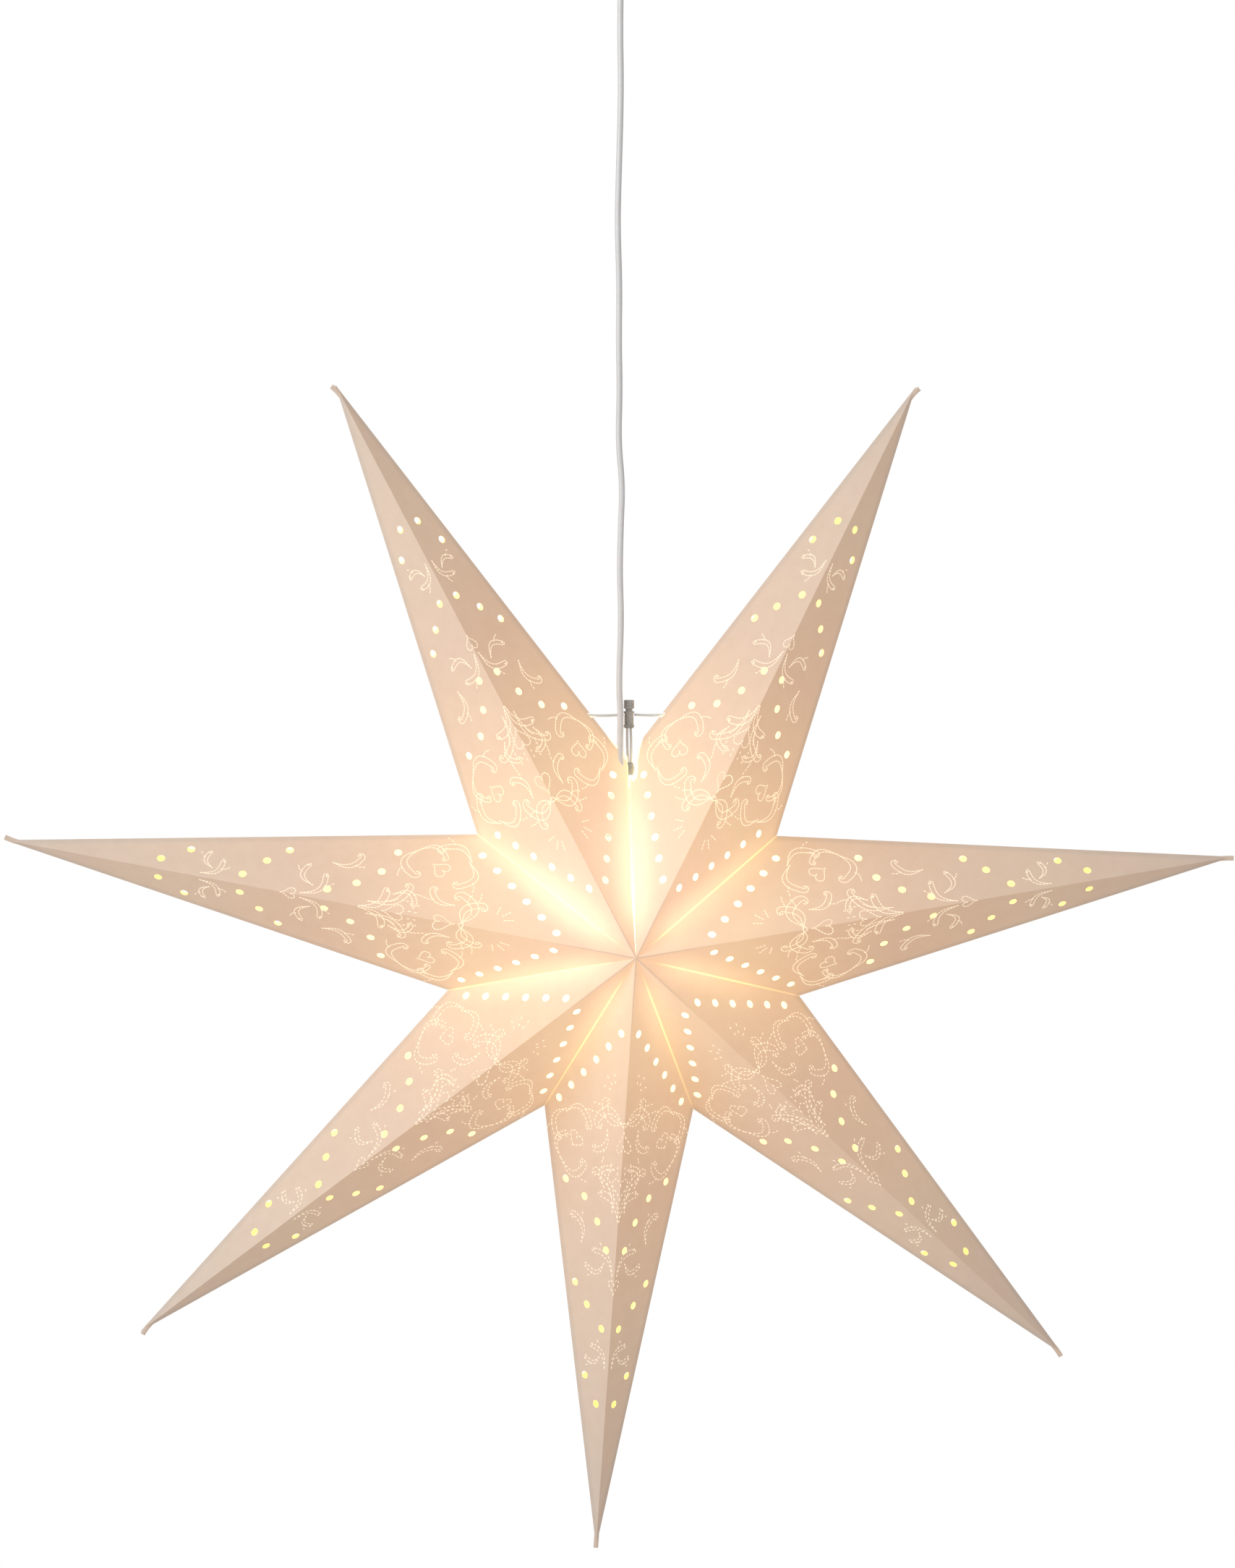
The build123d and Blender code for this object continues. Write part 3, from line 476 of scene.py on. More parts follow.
# The tree that makes one triangle of card: its input mesh holds the punched centres as points,
# the embossed lines as edges and any cutters as faces, all in the triangle's own plane.
card_maker, card_in, card_out = new_group(
    "punched_card", "GeometryNodeTree",
    [
        ("Pattern", "Geometry", None),
        ("Outer Apex", "Vector", None), ("Outer Tip", "Vector", None),
        ("Outer Corner", "Vector", None), ("Inner Apex", "Vector", None),
        ("Inner Tip", "Vector", None), ("Inner Corner", "Vector", None),
        ("Valley Side", "Vector", None), ("Rim Side", "Vector", None),
        ("Fineness", "Int", 4), ("Hole Radius", "Float", 0.002),
        ("Dash Length", "Float", 0.0018), ("Dash Width", "Float", 0.0008),
        ("Dash Pitch", "Float", 0.0026), ("Dash Height", "Float", 0.00015),
        ("Waviness", "Float", 0.0005), ("Seed", "Float", 0.0), ("Slit Bow", "Float", 0.0),
        ("Slit Lean", "Float", 0.0),
        ("Outside", "Material", None), ("Inside", "Material", None),
    ],
    [("Card", "Geometry")],
)
triangle = put(card_maker, "GeometryNodeMeshCircle", {"Vertices": 3, "Radius": 0.1},
               fill_type="NGON").outputs[0]
number = put(card_maker, "GeometryNodeInputIndex").outputs[0]
corner_place = put(card_maker, "GeometryNodeIndexSwitch", data_type="VECTOR")
corner_place.index_switch_items.new()
corner_share = put(card_maker, "GeometryNodeIndexSwitch", data_type="VECTOR")
corner_share.index_switch_items.new()
for socket in (corner_place.inputs[0], corner_share.inputs[0]):
    card_maker.links.new(number, socket)
for i, label in enumerate(("Outer Apex", "Outer Corner", "Outer Tip")):
    card_maker.links.new(card_in[label], corner_place.inputs[i + 1])
    corner_share.inputs[i + 1].default_value = [float(i == j) for j in range(3)]
flat = put(card_maker, "GeometryNodeSetPosition",
           {0: triangle, "Position": corner_place.outputs[0]}).outputs[0]
shared = stored(card_maker, flat, "share", corner_share.outputs[0], "FLOAT_VECTOR")
outer = put(card_maker, "GeometryNodeSubdivideMesh",
            {0: shared, "Level": card_in["Fineness"]}).outputs[0]
walled = put(card_maker, "GeometryNodeExtrudeMesh",
             {0: outer, "Offset Scale": 0.0, "Individual": False})
share = named(card_maker, "share", "FLOAT_VECTOR")
shares = put(card_maker, "ShaderNodeSeparateXYZ", {0: share}).outputs
total = None
for i, label in enumerate(("Inner Apex", "Inner Corner", "Inner Tip")):
    weighted = scaled(card_maker, card_in[label], shares[i])
    if total is None:
        total = weighted
    else:
        total = put(card_maker, "ShaderNodeVectorMath", {0: total, 1: weighted}).outputs[0]
inner = put(card_maker, "GeometryNodeSetPosition",
            {0: walled.outputs[0], "Selection": walled.outputs["Top"],
             "Position": total}).outputs[0]
inner = put(card_maker, "GeometryNodeFlipFaces", {0: inner}).outputs[0]
slab = put(card_maker, "GeometryNodeJoinGeometry").outputs[0]
for part in (outer, inner):
    card_maker.links.new(part, slab.node.inputs[0])
slab = put(card_maker, "GeometryNodeMergeByDistance", {0: slab, "Distance": WELD}).outputs[0]

punched = named(card_maker, "punched", "BOOLEAN")
centres = put(card_maker, "GeometryNodeMeshToPoints",
              {0: card_in["Pattern"], "Selection": punched}).outputs[0]
punch = put(card_maker, "GeometryNodeMeshCylinder",
            {"Vertices": 24, "Radius": card_in["Hole Radius"],
             "Depth": PUNCH_DEPTH}).outputs[0]
punches = put(card_maker, "GeometryNodeInstanceOnPoints",
              {0: centres, "Instance": punch}).outputs[0]
punches = put(card_maker, "GeometryNodeRealizeInstances", {0: punches}).outputs[0]
everywhere = put(card_maker, "FunctionNodeInputBool", boolean=True).outputs[0]
cutters = put(card_maker, "GeometryNodeSeparateGeometry",
              {0: card_in["Pattern"], "Selection": everywhere}, domain="FACE").outputs[0]
tools = put(card_maker, "GeometryNodeJoinGeometry").outputs[0]
for tool in (punches, cutters):
    card_maker.links.new(tool, tools.node.inputs[0])
pierced = put(card_maker, "GeometryNodeMeshBoolean", {"Mesh 1": slab, "Mesh 2": tools},
              operation="DIFFERENCE", solver="MANIFOLD")
facing = put(card_maker, "ShaderNodeSeparateXYZ",
             {0: put(card_maker, "GeometryNodeInputNormal").outputs[0]}).outputs[2]
outward = put(card_maker, "FunctionNodeCompare", {0: facing, 1: 0.5},
              operation="GREATER_THAN").outputs[0]
skin = stored(card_maker, pierced.outputs["Mesh"], "outer_face", outward, "BOOLEAN", domain="FACE")

lined = named(card_maker, "embossed", "BOOLEAN")
lines = put(card_maker, "GeometryNodeMeshToCurve",
            {0: card_in["Pattern"], "Selection": lined}).outputs[0]
stops = put(card_maker, "GeometryNodeCurveToPoints",
            {0: lines, "Length": card_in["Dash Pitch"]}, mode="LENGTH")
half_length = times(card_maker, card_in["Dash Length"], 0.5)
narrowing = compute(card_maker, "DIVIDE", card_in["Dash Width"], card_in["Dash Length"])
top_radius = times(card_maker, half_length, 0.7)
pimple = put(card_maker, "GeometryNodeMeshCone",
             {"Vertices": 8, "Radius Top": top_radius, "Radius Bottom": half_length,
              "Depth": card_in["Dash Height"]}).outputs[0]
squeeze = put(card_maker, "ShaderNodeCombineXYZ", {0: 1.0, 1: narrowing, 2: 1.0}).outputs[0]
dash = put(card_maker, "GeometryNodeTransform", {0: pimple, "Scale": squeeze}).outputs[0]
along = put(card_maker, "FunctionNodeAlignRotationToVector",
            {"Vector": stops.outputs["Tangent"]}, axis="X", pivot_axis="Z").outputs[0]
dashes = put(card_maker, "GeometryNodeInstanceOnPoints",
             {0: stops.outputs[0], "Instance": dash, "Rotation": along}).outputs[0]
dashes = put(card_maker, "GeometryNodeRealizeInstances", {0: dashes}).outputs[0]
dashes = stored(card_maker, dashes, "outer_face", True, "BOOLEAN", domain="FACE")
dashes = stored(card_maker, dashes, "embossed_mask", 1.0, "FLOAT")
whole = put(card_maker, "GeometryNodeJoinGeometry").outputs[0]
for part in (skin, dashes):
    card_maker.links.new(part, whole.node.inputs[0])

spot = put(card_maker, "GeometryNodeInputPosition").outputs[0]
distances = []
for start, side in (("Outer Apex", "Valley Side"), ("Outer Corner", "Rim Side")):
    offset = put(card_maker, "ShaderNodeVectorMath", {0: spot, 1: card_in[start]},
                 operation="SUBTRACT").outputs[0]
    distances.append(put(card_maker, "ShaderNodeVectorMath", {0: offset, 1: card_in[side]},
                         operation="DOT_PRODUCT").outputs["Value"])
out_from_ridge = put(card_maker, "ShaderNodeSeparateXYZ", {0: spot}).outputs[0]
creases = put(card_maker, "ShaderNodeCombineXYZ",
              {0: out_from_ridge, 1: distances[0], 2: distances[1]}).outputs[0]
marked = stored(card_maker, whole, "from_creases", creases, "FLOAT_VECTOR")
nearest = compute(card_maker, "MINIMUM", distances[0], distances[1])
nearest = compute(card_maker, "MINIMUM", nearest, out_from_ridge)
give = ease(card_maker, nearest, *WAVE_FREE_EDGE)
wave = put(card_maker, "ShaderNodeTexNoise",
           {"Vector": put(card_maker, "ShaderNodeVectorMath",
                          {0: spot, 1: (1.0, 0.6, 0.0)}, operation="MULTIPLY").outputs[0],
            "W": card_in["Seed"], "Scale": WAVE_FREQUENCY, "Detail": 1.0},
           noise_dimensions="4D").outputs["Fac"]
wave = compute(card_maker, "SUBTRACT", wave, 0.5)
wave = times(card_maker, wave, give)
wave = times(card_maker, wave, card_in["Waviness"])
bowed = put(card_maker, "GeometryNodeSetPosition",
            {0: marked, "Offset": put(card_maker, "ShaderNodeCombineXYZ",
                                      {2: wave}).outputs[0]}).outputs[0]
# An open slit gapes in its lower half and closes in towards the notch
along_slit = put(card_maker, "ShaderNodeSeparateXYZ", {0: spot}).outputs[1]
along_slit = compute(card_maker, "DIVIDE", along_slit, SLIT_LENGTH)
parting, unparting, closing = (ease(card_maker, along_slit, *ramp) for ramp in SLIT_RAMPS)
gaping = times(card_maker, parting, unparting)
closing = compute(card_maker, "SUBTRACT", closing, gaping)
beside = ease(card_maker, distances[0], SLIT_MARGIN, 0.0)
full_width = compute(card_maker, "ADD", distances[0], out_from_ridge)
across = compute(card_maker, "DIVIDE", out_from_ridge, full_width, use_clamp=True)
beside = times(card_maker, beside, across)
inward = times(card_maker, closing, beside)
inward = times(card_maker, inward, card_in["Slit Bow"])
inward = times(card_maker, inward, -1.0)
inward = scaled(card_maker, card_in["Valley Side"], inward)
bowed = put(card_maker, "GeometryNodeSetPosition", {0: bowed, "Offset": inward}).outputs[0]
lean = compute(card_maker, "POWER", along_slit, 2.0)
lean = times(card_maker, lean, beside)
lean = times(card_maker, lean, card_in["Slit Lean"])
lean = put(card_maker, "ShaderNodeCombineXYZ", {0: lean}).outputs[0]
bowed = put(card_maker, "GeometryNodeSetPosition", {0: bowed, "Offset": lean}).outputs[0]
single = put(card_maker, "GeometryNodeRealizeInstances", {0: bowed}).outputs[0]
outer_face = named(card_maker, "outer_face", "BOOLEAN")
single = put(card_maker, "GeometryNodeSetMaterial",
             {0: single, "Material": card_in["Inside"]}).outputs[0]
single = put(card_maker, "GeometryNodeSetMaterial",
             {0: single, "Selection": outer_face, "Material": card_in["Outside"]}).outputs[0]
card_maker.links.new(single, card_out["Card"])


# Light through the card: brightest above the middle, where the bulb is nearest, then fading
# outwards. Falloff is the distance from the lamp as a share of the reach.
lamp_glow, glow_in, glow_out = new_group(
    "lamp_glow", "ShaderNodeTree",
    [("Lamp", "Vector", (0, 0, 0)), ("Reach", "Float", 0.4), ("Cloud", "Float", 0.05)],
    [("Falloff", "Float"), ("Cloud", "Float")],
)
place = put(lamp_glow, "ShaderNodeTexCoord").outputs["Object"]
ray = put(lamp_glow, "ShaderNodeVectorMath", {0: place, 1: glow_in["Lamp"]},
          operation="SUBTRACT").outputs[0]
distance = put(lamp_glow, "ShaderNodeVectorMath", {0: ray}, operation="LENGTH").outputs["Value"]
share = compute(lamp_glow, "DIVIDE", distance, glow_in["Reach"], use_clamp=True)
lamp_glow.links.new(share, glow_out["Falloff"])
fibres = put(lamp_glow, "ShaderNodeTexNoise",
             {"Vector": place, "Scale": 900.0, "Detail": 4.0, "Roughness": 0.75}).outputs["Fac"]
patches = put(lamp_glow, "ShaderNodeTexNoise",
              {"Vector": place, "Scale": 55.0, "Detail": 3.0, "Roughness": 0.5}).outputs["Fac"]
cloud = compute(lamp_glow, "ADD", fibres, patches)
cloud = compute(lamp_glow, "SUBTRACT", cloud, 1.0)
cloud = compute(lamp_glow, "MULTIPLY_ADD", cloud, glow_in["Cloud"], 1.0)
lamp_glow.links.new(cloud, glow_out["Cloud"])


def lit_card(name, base, shade, stops, cloud):
    """Card with the lamp's glow in it; stops are (distance from the lamp in mm, colour)."""
    material = finish(name, base, shade, size=0.0005, roughness=0.72, spread=0.2, relief=0.00003,
                      Specular_IOR_Level=0.25, Emission_Strength=1.0)
    tree = material.node_tree
    glow = put(tree, "ShaderNodeGroup", node_tree=lamp_glow)
    glow.inputs["Lamp"].default_value = STAR_CENTRE + LAMP_OFFSET
    glow.inputs["Reach"].default_value = GLOW_REACH
    glow.inputs["Cloud"].default_value = cloud
    ramp = put(tree, "ShaderNodeValToRGB", {0: glow.outputs["Falloff"]})
    elements = ramp.color_ramp.elements
    while len(elements) < len(stops):
        elements.new(0.5)
    for element, (distance, colour) in zip(elements, stops):
        element.position = distance * MILLI / GLOW_REACH
    for element, (distance, colour) in zip(elements, stops):
        element.color = (*colour, 1)
    clouded = scaled(tree, ramp.outputs[0], glow.outputs["Cloud"])
    tree.links.new(clouded, tree.nodes["Principled BSDF"].inputs["Emission Color"])
    return material


def add_where(tree, colour, mask, extra):
    """Colour plus extra where the mask is 1."""
    part = put(tree, "ShaderNodeMix", {0: mask, MIX_A: (0, 0, 0, 1), MIX_B: (*extra, 1)},
               **COLOUR_MIX).outputs[MIX_RESULT]
    return put(tree, "ShaderNodeVectorMath", {0: colour, 1: part}).outputs[0]


LAMP_OFFSET = Vector((-0.010, -0.004, 0.026))
GLOW_REACH = 0.40
card_outside = lit_card(
    "star_card_outside", (0.50, 0.49, 0.47), (0.46, 0.45, 0.43),
    [(25, (0.90, 0.60, 0.36)), (60, (0.66, 0.35, 0.165)), (85, (0.59, 0.325, 0.125)),
     (115, (0.50, 0.255, 0.092)), (165, (0.39, 0.19, 0.070)), (250, (0.33, 0.175, 0.070)),
     (350, (0.24, 0.125, 0.055))],
    cloud=0.10)
card_inside = lit_card(
    "star_card_inside", (0.55, 0.52, 0.44), (0.50, 0.47, 0.38),
    [(30, (1, 0.97, 0.80)), (90, (0.97, 0.88, 0.58)), (160, (0.97, 0.76, 0.34)),
     (260, (0.94, 0.62, 0.22)), (350, (0.85, 0.46, 0.12))],
    cloud=0.04)

# The painted glow on the outside is also brighter beside the valleys, lit along their open
# seams and through the embossed lines, and dimmed to painted shade where the glued flaps
# double the card along the rims and where the ridges are folded near the apex.
VALLEY_GLOW_WIDTH = 0.018
SEAM_EDGE = (0.0008, 0.0004)
FLAP_SHADE_BAND = (0.0045, 0.0015)
FOLD_SHADE_BAND = (0.0009, 0.0004)
VALLEY_LIGHT = (0.28, 0.19, 0.11)
SEAM_LIGHT = (0.62, 0.42, 0.10)
EMBOSSED_LIGHT = (0.36, 0.38, 0.30)
tree = card_outside.node_tree
glow_socket = tree.nodes["Principled BSDF"].inputs["Emission Color"]
colour = glow_socket.links[0].from_socket
falloff = next(n for n in tree.nodes if n.type == "VALTORGB").inputs[0].links[0].from_socket
creases = put(tree, "ShaderNodeAttribute", attribute_name="from_creases").outputs["Vector"]
from_ridge, from_valley, from_rim = put(tree, "ShaderNodeSeparateXYZ", {0: creases}).outputs
embossed = put(tree, "ShaderNodeAttribute", attribute_name="embossed_mask").outputs["Fac"]
from_apex = compute(tree, "ADD", from_ridge, from_valley)
off_apex = ease(tree, from_apex, 0.004, 0.02)
beside_valley = times(tree, ease(tree, from_valley, VALLEY_GLOW_WIDTH, 0.0),
                      ease(tree, falloff, 0.30, 0.12))
colour = add_where(tree, colour, times(tree, beside_valley, off_apex), VALLEY_LIGHT)
seam = times(tree, ease(tree, from_valley, *SEAM_EDGE), ease(tree, falloff, 0.42, 0.10))
colour = add_where(tree, colour, times(tree, seam, off_apex), SEAM_LIGHT)
colour = add_where(tree, colour, embossed, EMBOSSED_LIGHT)
# Painted shade: the glow is dimmed along the rims where the glued flaps double the card, and along
# the ridges near the apex.
flap_shade = ease(tree, from_rim, *FLAP_SHADE_BAND, 1.0, 0.80)
apex_fold_shade = times(tree, ease(tree, from_ridge, *FOLD_SHADE_BAND), ease(tree, from_apex, 0.035, 0.008))
apex_fold_shade = compute(tree, "MULTIPLY_ADD", apex_fold_shade, -0.30, 1.0)
shading = times(tree, flap_shade, apex_fold_shade)
colour = scaled(tree, colour, shading)
tree.links.new(colour, glow_socket)


def modifier_input(tree, label):
    """Identifier of a tree's input, by its name."""
    for item in tree.interface.items_tree:
        if item.item_type == "SOCKET" and item.in_out == "INPUT" and item.name == label:
            return item.identifier


def pattern_mesh(to_plane, cutters):
    """Punched centres, embossed lines and cutter prisms in one triangle's own plane."""
    verts = [(u * MILLI, v * MILLI, 0) for row in HOLE_ROWS for u, v in row]
    punched = len(verts)
    edges, faces = [], []
    for line in EMBOSSED:
        first = len(verts)
        verts += [(u * MILLI, v * MILLI, 0) for u, v in line]
        edges += [(i, i + 1) for i in range(first, len(verts) - 1)]
    embossed = len(edges)
    for corners, ends in cutters:
        if to_plane.determinant() < 0:
            corners = corners[::-1]
        first, count = len(verts), len(corners)
        for y in ends:
            verts += [to_plane @ Vector((x, y, z)) for x, z in corners]
        faces.append([first + i for i in range(count)])
        faces.append([first + count + i for i in reversed(range(count))])
        for i in range(count):
            j = (i + 1) % count
            faces.append([first + j, first + i, first + count + i, first + count + j])
    mesh = bpy.data.meshes.new("pattern")
    mesh.from_pydata(verts, edges, faces)
    marks = mesh.attributes.new("punched", "BOOLEAN", "POINT")
    for i in range(punched):
        marks.data[i].value = True
    marks = mesh.attributes.new("embossed", "BOOLEAN", "EDGE")
    for i in range(embossed):
        marks.data[i].value = True
    return mesh


def star_card(arm, side, face):
    """One triangle of the star, made in its own plane and laid in place."""
    apex, tip, corner = outline(arm, side, face)
    inside = (apex + tip + corner) / 3
    outer = facing_away((tip, apex, corner), Vector())
    gap = FRONT_CREASE_GAP if face < 0 else BACK_CREASE_GAP
    ridge = moved(facing_away((tip, Vector((0, -1, 0)), Vector((0, 1, 0))), inside), -gap)
    rim = (Vector((0, -face, 0)), 0.0)
    valley = moved(facing_away((corner, Vector((0, -1, 0)), Vector((0, 1, 0))), inside), -gap)
    along = (tip - apex).normalized()
    normal = outer[0]
    across = along.cross(normal)
    if across.dot(corner - apex) < 0:
        across = -across
    axes = Matrix((across, along, normal)).transposed().to_4x4()
    to_world = Matrix.Translation(apex) @ axes
    to_plane = to_world.inverted()
    rows = {}
    for label, skin in (("Outer", outer), ("Inner", moved(outer, -CARD))):
        rows[label + " Apex"] = to_plane @ meet(skin, valley, ridge)
        rows[label + " Tip"] = to_plane @ meet(skin, ridge, rim)
        rows[label + " Corner"] = to_plane @ meet(skin, rim, valley)
    a, t, c = (rows["Outer " + label] for label in ("Apex", "Tip", "Corner"))
    rows["Valley Side"] = Vector((-(c - a).y, (c - a).x, 0)).normalized()
    rows["Rim Side"] = Vector(((c - t).y, -(c - t).x, 0)).normalized()
    cutters = []
    if borders_slit(arm, side):
        rows |= {"Slit Bow": SLIT_BOW, "Slit Lean": side * SLIT_LEAN}
        string_low = STRING_TOP - (STRING_HOLE if face < 0 else STRING_SLOT)
        string_box = [(-1, string_low), (1, string_low), (1, STRING_TOP), (-1, STRING_TOP)]
        cutters = [
            (NOTCH, (-1.5 * HALF_DEPTH, 1.5 * HALF_DEPTH)),
            (string_box, (-STRING_HOLE / 2, STRING_HOLE / 2 + STRING_DEPTH)),
        ]
    mesh_object = bpy.data.objects.new("pattern", pattern_mesh(to_plane, cutters))
    scene.collection.objects.link(mesh_object)
    maker = mesh_object.modifiers.new("card", "NODES")
    maker.node_group = card_maker
    rows |= {"Fineness": FINENESS, "Hole Radius": HOLE_RADIUS, "Dash Length": DASH_LENGTH,
             "Dash Width": DASH_WIDTH, "Dash Height": DASH_HEIGHT,
             "Dash Pitch": SOLID_DASH_PITCH if arm in SOLID_LINED_ARMS else DASH_PITCH,
             "Waviness": WAVINESS, "Seed": 1.7 * arm + 0.6 * side + 0.25 * face,
             "Outside": card_outside, "Inside": card_inside}
    for label, value in rows.items():
        maker[modifier_input(card_maker, label)] = value
    made = mesh_object.evaluated_get(bpy.context.evaluated_depsgraph_get())
    mesh = bpy.data.meshes.new_from_object(made)
    bpy.data.objects.remove(mesh_object)
    mesh.transform(Matrix.Translation(STAR_CENTRE) @ to_world)
    if to_world.determinant() < 0:
        mesh.flip_normals()
    mesh.shade_smooth()
    mesh.set_sharp_from_angle(angle=radians(35))
    return mesh


for arm in range(1, len(ARM_DIRECTIONS) + 1):
    for face, face_name in ((-1, "front"), (1, "back")):
        for side, side_name in ((-1, "left"), (1, "right")):
            name = f"arm_{arm}_{face_name}_{side_name}"
            card = bpy.data.objects.new("card_" + name, star_card(arm, side, face))
            scene.collection.objects.link(card)
            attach(card, name)
            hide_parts(name)


# ---- folded ends of the arms ----
# At each tip the four layers of card are pressed flat into a small blunt end, bent a little
# to one side.
END_LENGTH = 0.010
END_WIDTH = 0.0028
END_THICKNESS = 0.0010
END_STEPS = 12
END_SIDES = 16
END_CURLS = (0.0022, 0.0008, 0.0016, 0.0002, -0.0020, 0.0018, -0.0024)  # sideways, by arm
for arm, curl in enumerate(END_CURLS, 1):
    direction = polar(ARM_DIRECTIONS[arm - 1], 1.0)
    sideways = polar(ARM_DIRECTIONS[arm - 1] + 90, 1.0)
    tip = polar(ARM_DIRECTIONS[arm - 1], TIP_RADIUS)
    ends = []
    for step in range(END_STEPS + 1):
        t = step / END_STEPS
        ends.append(STAR_CENTRE + tip - direction * END_LENGTH * (1 - t)
                    + sideways * curl * t * t + Vector((0, -0.0006 * t * t, 0)))
    half, thin = END_WIDTH / 2, END_THICKNESS / 2
    angles = [2 * pi * i / END_SIDES for i in range(END_SIDES)]
    lens = [(thin * sin(a) * 0.9, half * cos(a)) for a in angles]
    end = swept(f"folded_end_{arm}", ends, lens, sideways)
    clear = end.data.attributes.new("from_creases", "FLOAT_VECTOR", "POINT")
    for point in clear.data:
        point.vector = (0.02, 0.02, 0.02)
    end.data.materials.append(card_outside)
    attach(end, f"arm_{arm}_front_left")


# ---- tie string and cord lock ----
# A white laid string through the first and last arm, drawn tight by a sprung lock of smoky
# clear plastic; its two tails hang down to a grey moulded end.
STRING_RADIUS = 0.00075
LOCK_X = 0.0019
LOCK_RADIUS = 0.0031
LOCK_FOOT = 0.1218
KNOT_X = 0.0265
KNOT_COIL = 0.00062
KNOT_STEPS, STRING_STEPS, TAIL_STEPS = 32, 6, 4
TAIL_SPREAD = 0.0010
TAIL_BOW = 0.0002
STRING_SAG = 0.0004
STRING_LAY = 0.0032             # length of one turn of its strands
BELL_TOP = Vector((0.0021, 0.0010, 0.1025))

laid_string, string_in, string_out = new_group(
    "laid_string", "GeometryNodeTree",
    [("Line", "Geometry", None), ("Radius", "Float", 0.00075), ("Lay", "Float", 0.003),
     ("Strands", "Float", 3.0), ("Step", "Float", 0.0002), ("Yarn", "Material", None)],
    [("String", "Geometry")],
)
PROFILE_POINTS = 24
line = put(laid_string, "GeometryNodeMeshToCurve", {0: string_in["Line"]}).outputs[0]
line = put(laid_string, "GeometryNodeResampleCurve", {0: line, "Length": string_in["Step"]},
           mode="LENGTH").outputs[0]
run = put(laid_string, "GeometryNodeSplineParameter").outputs["Length"]
turns = compute(laid_string, "DIVIDE", run, string_in["Lay"])
twist = times(laid_string, turns, 2 * pi)
line = put(laid_string, "GeometryNodeSetCurveTilt", {0: line, "Tilt": twist}).outputs[0]
ring = put(laid_string, "GeometryNodeCurvePrimitiveCircle",
           {"Resolution": PROFILE_POINTS, "Radius": string_in["Radius"]}).outputs[0]
number = put(laid_string, "GeometryNodeInputIndex").outputs[0]
lobe = times(laid_string, number, pi / PROFILE_POINTS)
lobe = times(laid_string, lobe, string_in["Strands"])
lobe = compute(laid_string, "COSINE", lobe)
lobe = compute(laid_string, "ABSOLUTE", lobe)
lobe = compute(laid_string, "MULTIPLY_ADD", lobe, 0.24, 0.76)
spot = put(laid_string, "GeometryNodeInputPosition").outputs[0]
lobed = scaled(laid_string, spot, lobe)
ring = put(laid_string, "GeometryNodeSetPosition", {0: ring, "Position": lobed}).outputs[0]
yarn = put(laid_string, "GeometryNodeCurveToMesh",
           {"Curve": line, "Profile Curve": ring, "Fill Caps": True}).outputs[0]
yarn = put(laid_string, "GeometryNodeRealizeInstances", {0: yarn}).outputs[0]
yarn = put(laid_string, "GeometryNodeSetMaterial",
           {0: yarn, "Material": string_in["Yarn"]}).outputs[0]
laid_string.links.new(yarn, string_out["String"])

string_white = finish("string_white_polyester", (0.88, 0.87, 0.85), (0.70, 0.69, 0.67),
                      size=0.0003, roughness=0.55, relief=0.00005, Sheen_Weight=0.4,
                      Specular_IOR_Level=0.4)


def string_piece(name, lines, body, node):
    """Laid string along one or more lines of points above the star's centre."""
    verts, edges = [], []
    for points in lines:
        first = len(verts)
        verts += [STAR_CENTRE + Vector(point) for point in points]
        edges += [(i, i + 1) for i in range(first, len(verts) - 1)]
    mesh = bpy.data.meshes.new("string_line")
    mesh.from_pydata(verts, edges, [])
    drawn = bpy.data.objects.new("string_line", mesh)
    scene.collection.objects.link(drawn)
    maker = drawn.modifiers.new("string", "NODES")
    maker.node_group = laid_string
    settings = {"Radius": STRING_RADIUS, "Lay": STRING_LAY, "Strands": 3.0, "Step": 0.0002,
                "Yarn": string_white}
    for label, value in settings.items():
        maker[modifier_input(laid_string, label)] = value
    made = drawn.evaluated_get(bpy.context.evaluated_depsgraph_get())
    mesh = bpy.data.meshes.new_from_object(made)
    bpy.data.objects.remove(drawn)
    mesh.shade_smooth()
    piece = bpy.data.objects.new(name, mesh)
    scene.collection.objects.link(piece)
    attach(piece, body)
    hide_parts(node)


def knot(middle, side):
    """Small overhand knot, entered from the middle of the star."""
    points = []
    for step in range(KNOT_STEPS + 1):
        t = 2 * pi * step / KNOT_STEPS
        loop = Vector((-side * (cos(t) + 2 * cos(2 * t)), sin(3 * t), sin(t) - 2 * sin(2 * t)))
        points.append(middle + loop * KNOT_COIL / 3)
    return points


for side, name, body in ((-1, "tie_string_left", "arm_7_front_right"),
                         (1, "tie_string_right", "arm_1_front_left")):
    start = LOCK_X + side * LOCK_RADIUS
    middle = Vector((side * KNOT_X, STRING_DEPTH, STRING_HEIGHT))
    run = [Vector((start + (middle.x - start) * t / STRING_STEPS, STRING_DEPTH,
                   STRING_HEIGHT - STRING_SAG * sin(pi * t / STRING_STEPS)))
           for t in range(STRING_STEPS)]
    string_piece("string_" + name, [run + knot(middle, side)], body, name)
tails = []
for side in (-1, 1):
    top = Vector((LOCK_X + side * TAIL_SPREAD, STRING_DEPTH, LOCK_FOOT))
    foot = BELL_TOP + Vector((side * (STRING_RADIUS + 0.00005), 0, 0))
    shares = [t / TAIL_STEPS for t in range(TAIL_STEPS + 1)]
    tails.append([top.lerp(foot, t) + Vector((side * TAIL_BOW * sin(pi * t), 0, 0))
                  for t in shares])
string_piece("string_tails_laid", tails, "arm_1_front_left", "string_tails")

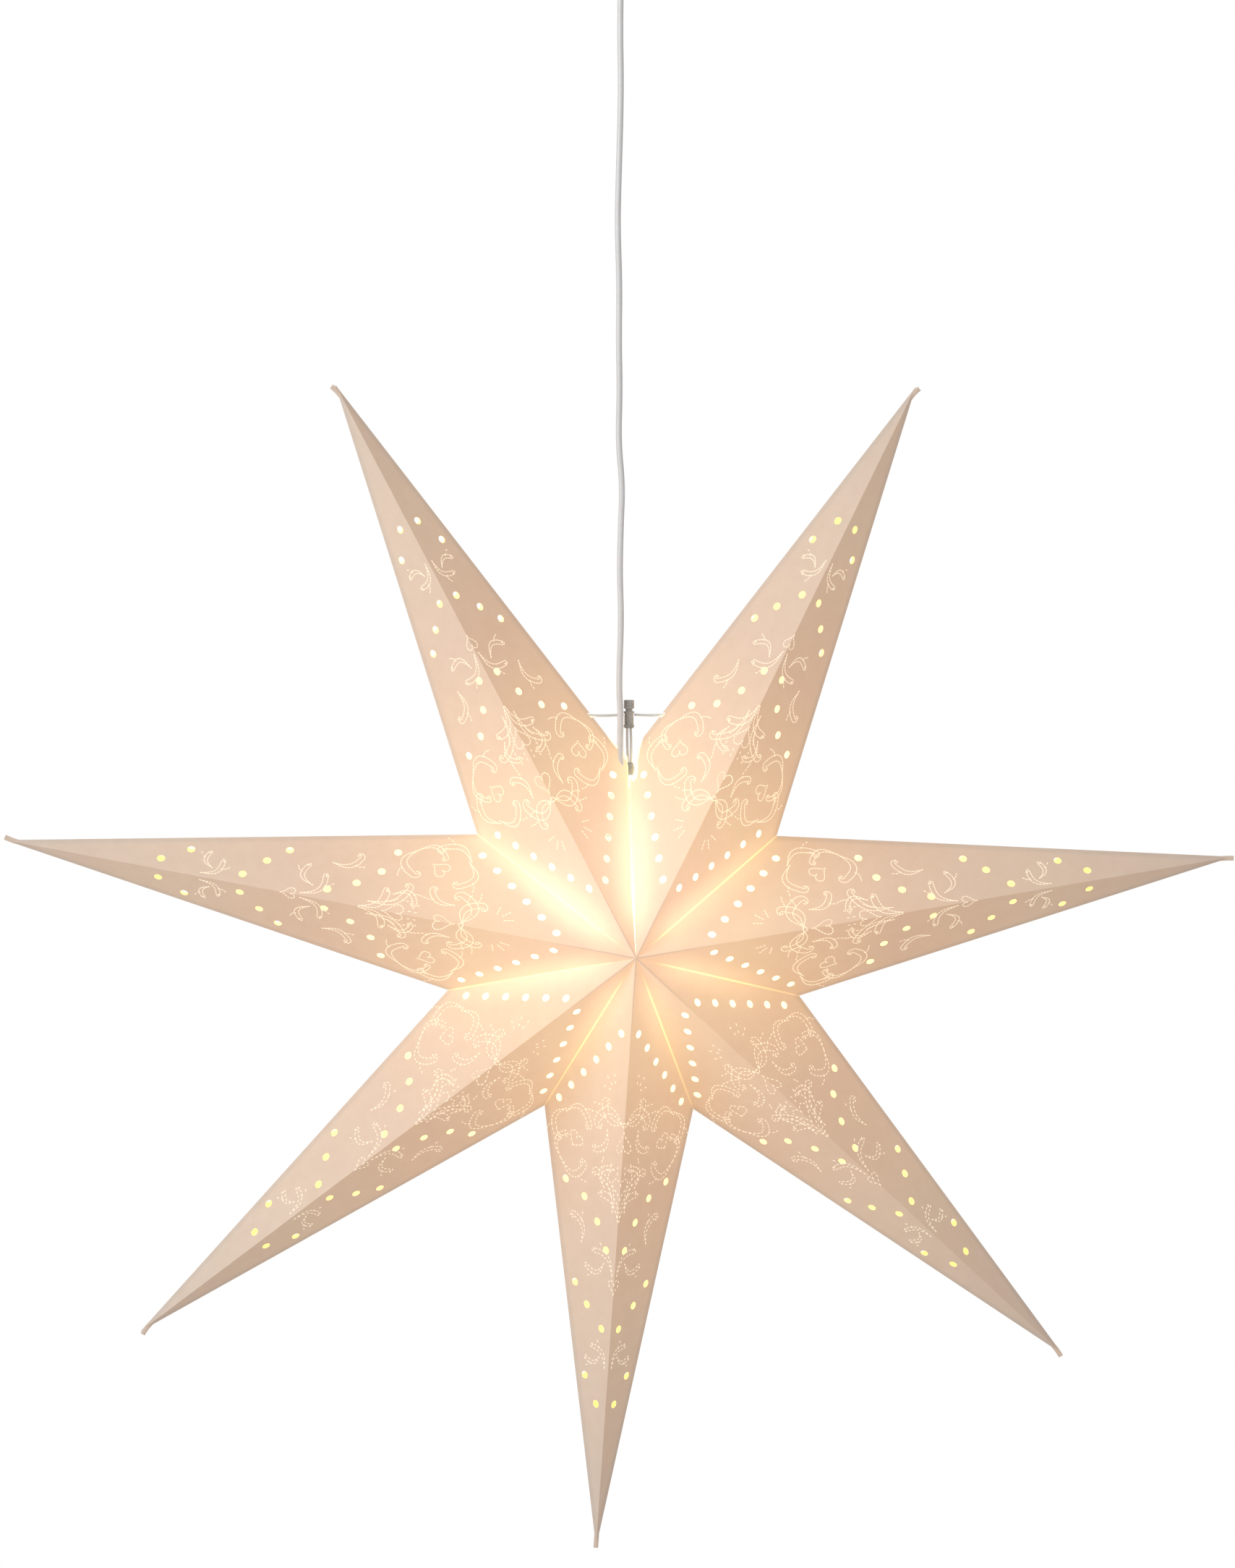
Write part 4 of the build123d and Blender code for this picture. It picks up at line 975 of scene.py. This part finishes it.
smoky_plastic = finish("lock_smoky_plastic", (0.56, 0.55, 0.52), (0.17, 0.17, 0.16), size=0.0011,
                       roughness=0.16, spread=0.1, relief=0.0002, Coat_Weight=0.5,
                       Coat_Roughness=0.08, Specular_IOR_Level=0.7)
bell_grey = finish("bell_grey_plastic", (0.34, 0.34, 0.34), (0.22, 0.22, 0.22), size=0.001,
                   roughness=0.30, Coat_Weight=0.3)
spring_steel = finish("spring_steel", (0.62, 0.62, 0.63), (0.40, 0.40, 0.41), size=0.0004,
                      stretch=(1, 1, 5), roughness=0.25, Metallic=1.0)
dress(smoky_plastic, "cord_lock_barrel", "cord_lock_button")
dress(bell_grey, "cord_end_bell")
dress(spring_steel, "cord_lock_spring")


# ---- room ----
# Plain pale floor well below the lantern, white surroundings, and a soft light from the upper
# left with a weaker one from the upper right.
FLOOR_HALF = 1.5
FLOOR_HEIGHT = -1.6
SKY_LIGHT = 0.44
floor_corners = [(x * FLOOR_HALF, y * FLOOR_HALF, FLOOR_HEIGHT)
                 for x, y in ((-1, -1), (1, -1), (1, 1), (-1, 1))]
floor_mesh = bpy.data.meshes.new("floor")
floor_mesh.from_pydata(floor_corners, [], [(0, 1, 2, 3)])
floor = bpy.data.objects.new("floor", floor_mesh)
scene.collection.objects.link(floor)
floor.data.materials.append(finish("floor_pale", (0.82, 0.82, 0.82), (0.79, 0.79, 0.79),
                                   size=0.05, roughness=0.7))

scene.view_settings.view_transform = "Standard"
world = bpy.data.worlds.new("white_room")
world.use_nodes = True
scene.world = world
sky = world.node_tree
sky.nodes.clear()
lighting = put(sky, "ShaderNodeBackground", {"Color": (1, 1, 1, 1), "Strength": SKY_LIGHT})
backdrop = put(sky, "ShaderNodeBackground", {"Color": (1, 1, 1, 1), "Strength": 1.0})
seen = put(sky, "ShaderNodeLightPath").outputs["Is Camera Ray"]
both = put(sky, "ShaderNodeMixShader", {0: seen, 1: lighting.outputs[0], 2: backdrop.outputs[0]})
put(sky, "ShaderNodeOutputWorld", {0: both.outputs[0]})


def soft_light(name, offset, size, power, colour):
    """Square area light, placed from the star's centre and turned towards it."""
    data = bpy.data.lights.new(name, "AREA")
    data.size = size
    data.energy = power
    data.color = colour
    light = bpy.data.objects.new(name, data)
    light.location = STAR_CENTRE + offset
    light.rotation_euler = (-offset).to_track_quat("-Z", "Y").to_euler()
    scene.collection.objects.link(light)


soft_light("key", Vector((-1.7, -1.1, 0.9)), size=1.2, power=24.0, colour=(1.0, 0.99, 0.97))
soft_light("front_fill", Vector((1.3, -1.7, 0.8)), size=1.4, power=3.4, colour=(1, 1, 1))


# ---- camera ----
# A long lens in front of the lantern, turned a little to its left and looking down on it.
AZIMUTH, ELEVATION = radians(-4.8), radians(5.7)
DISTANCE, SHIFT_RIGHT, SHIFT_UP = 2.0, -0.0048, 0.0898
back = Vector((sin(AZIMUTH) * cos(ELEVATION), -cos(AZIMUTH) * cos(ELEVATION), sin(ELEVATION)))
right = Vector((cos(AZIMUTH), sin(AZIMUTH), 0))
up = back.cross(right)
camera_data = bpy.data.cameras.new("camera")
camera_data.lens = 80.5
camera_data.sensor_width = 36.0
camera_data.clip_start = 0.05
camera = bpy.data.objects.new("camera", camera_data)
camera.matrix_world = Matrix.Translation(
    STAR_CENTRE + SHIFT_RIGHT * right + SHIFT_UP * up + DISTANCE * back
) @ Matrix((right, up, back)).transposed().to_4x4()
scene.collection.objects.link(camera)
scene.camera = camera
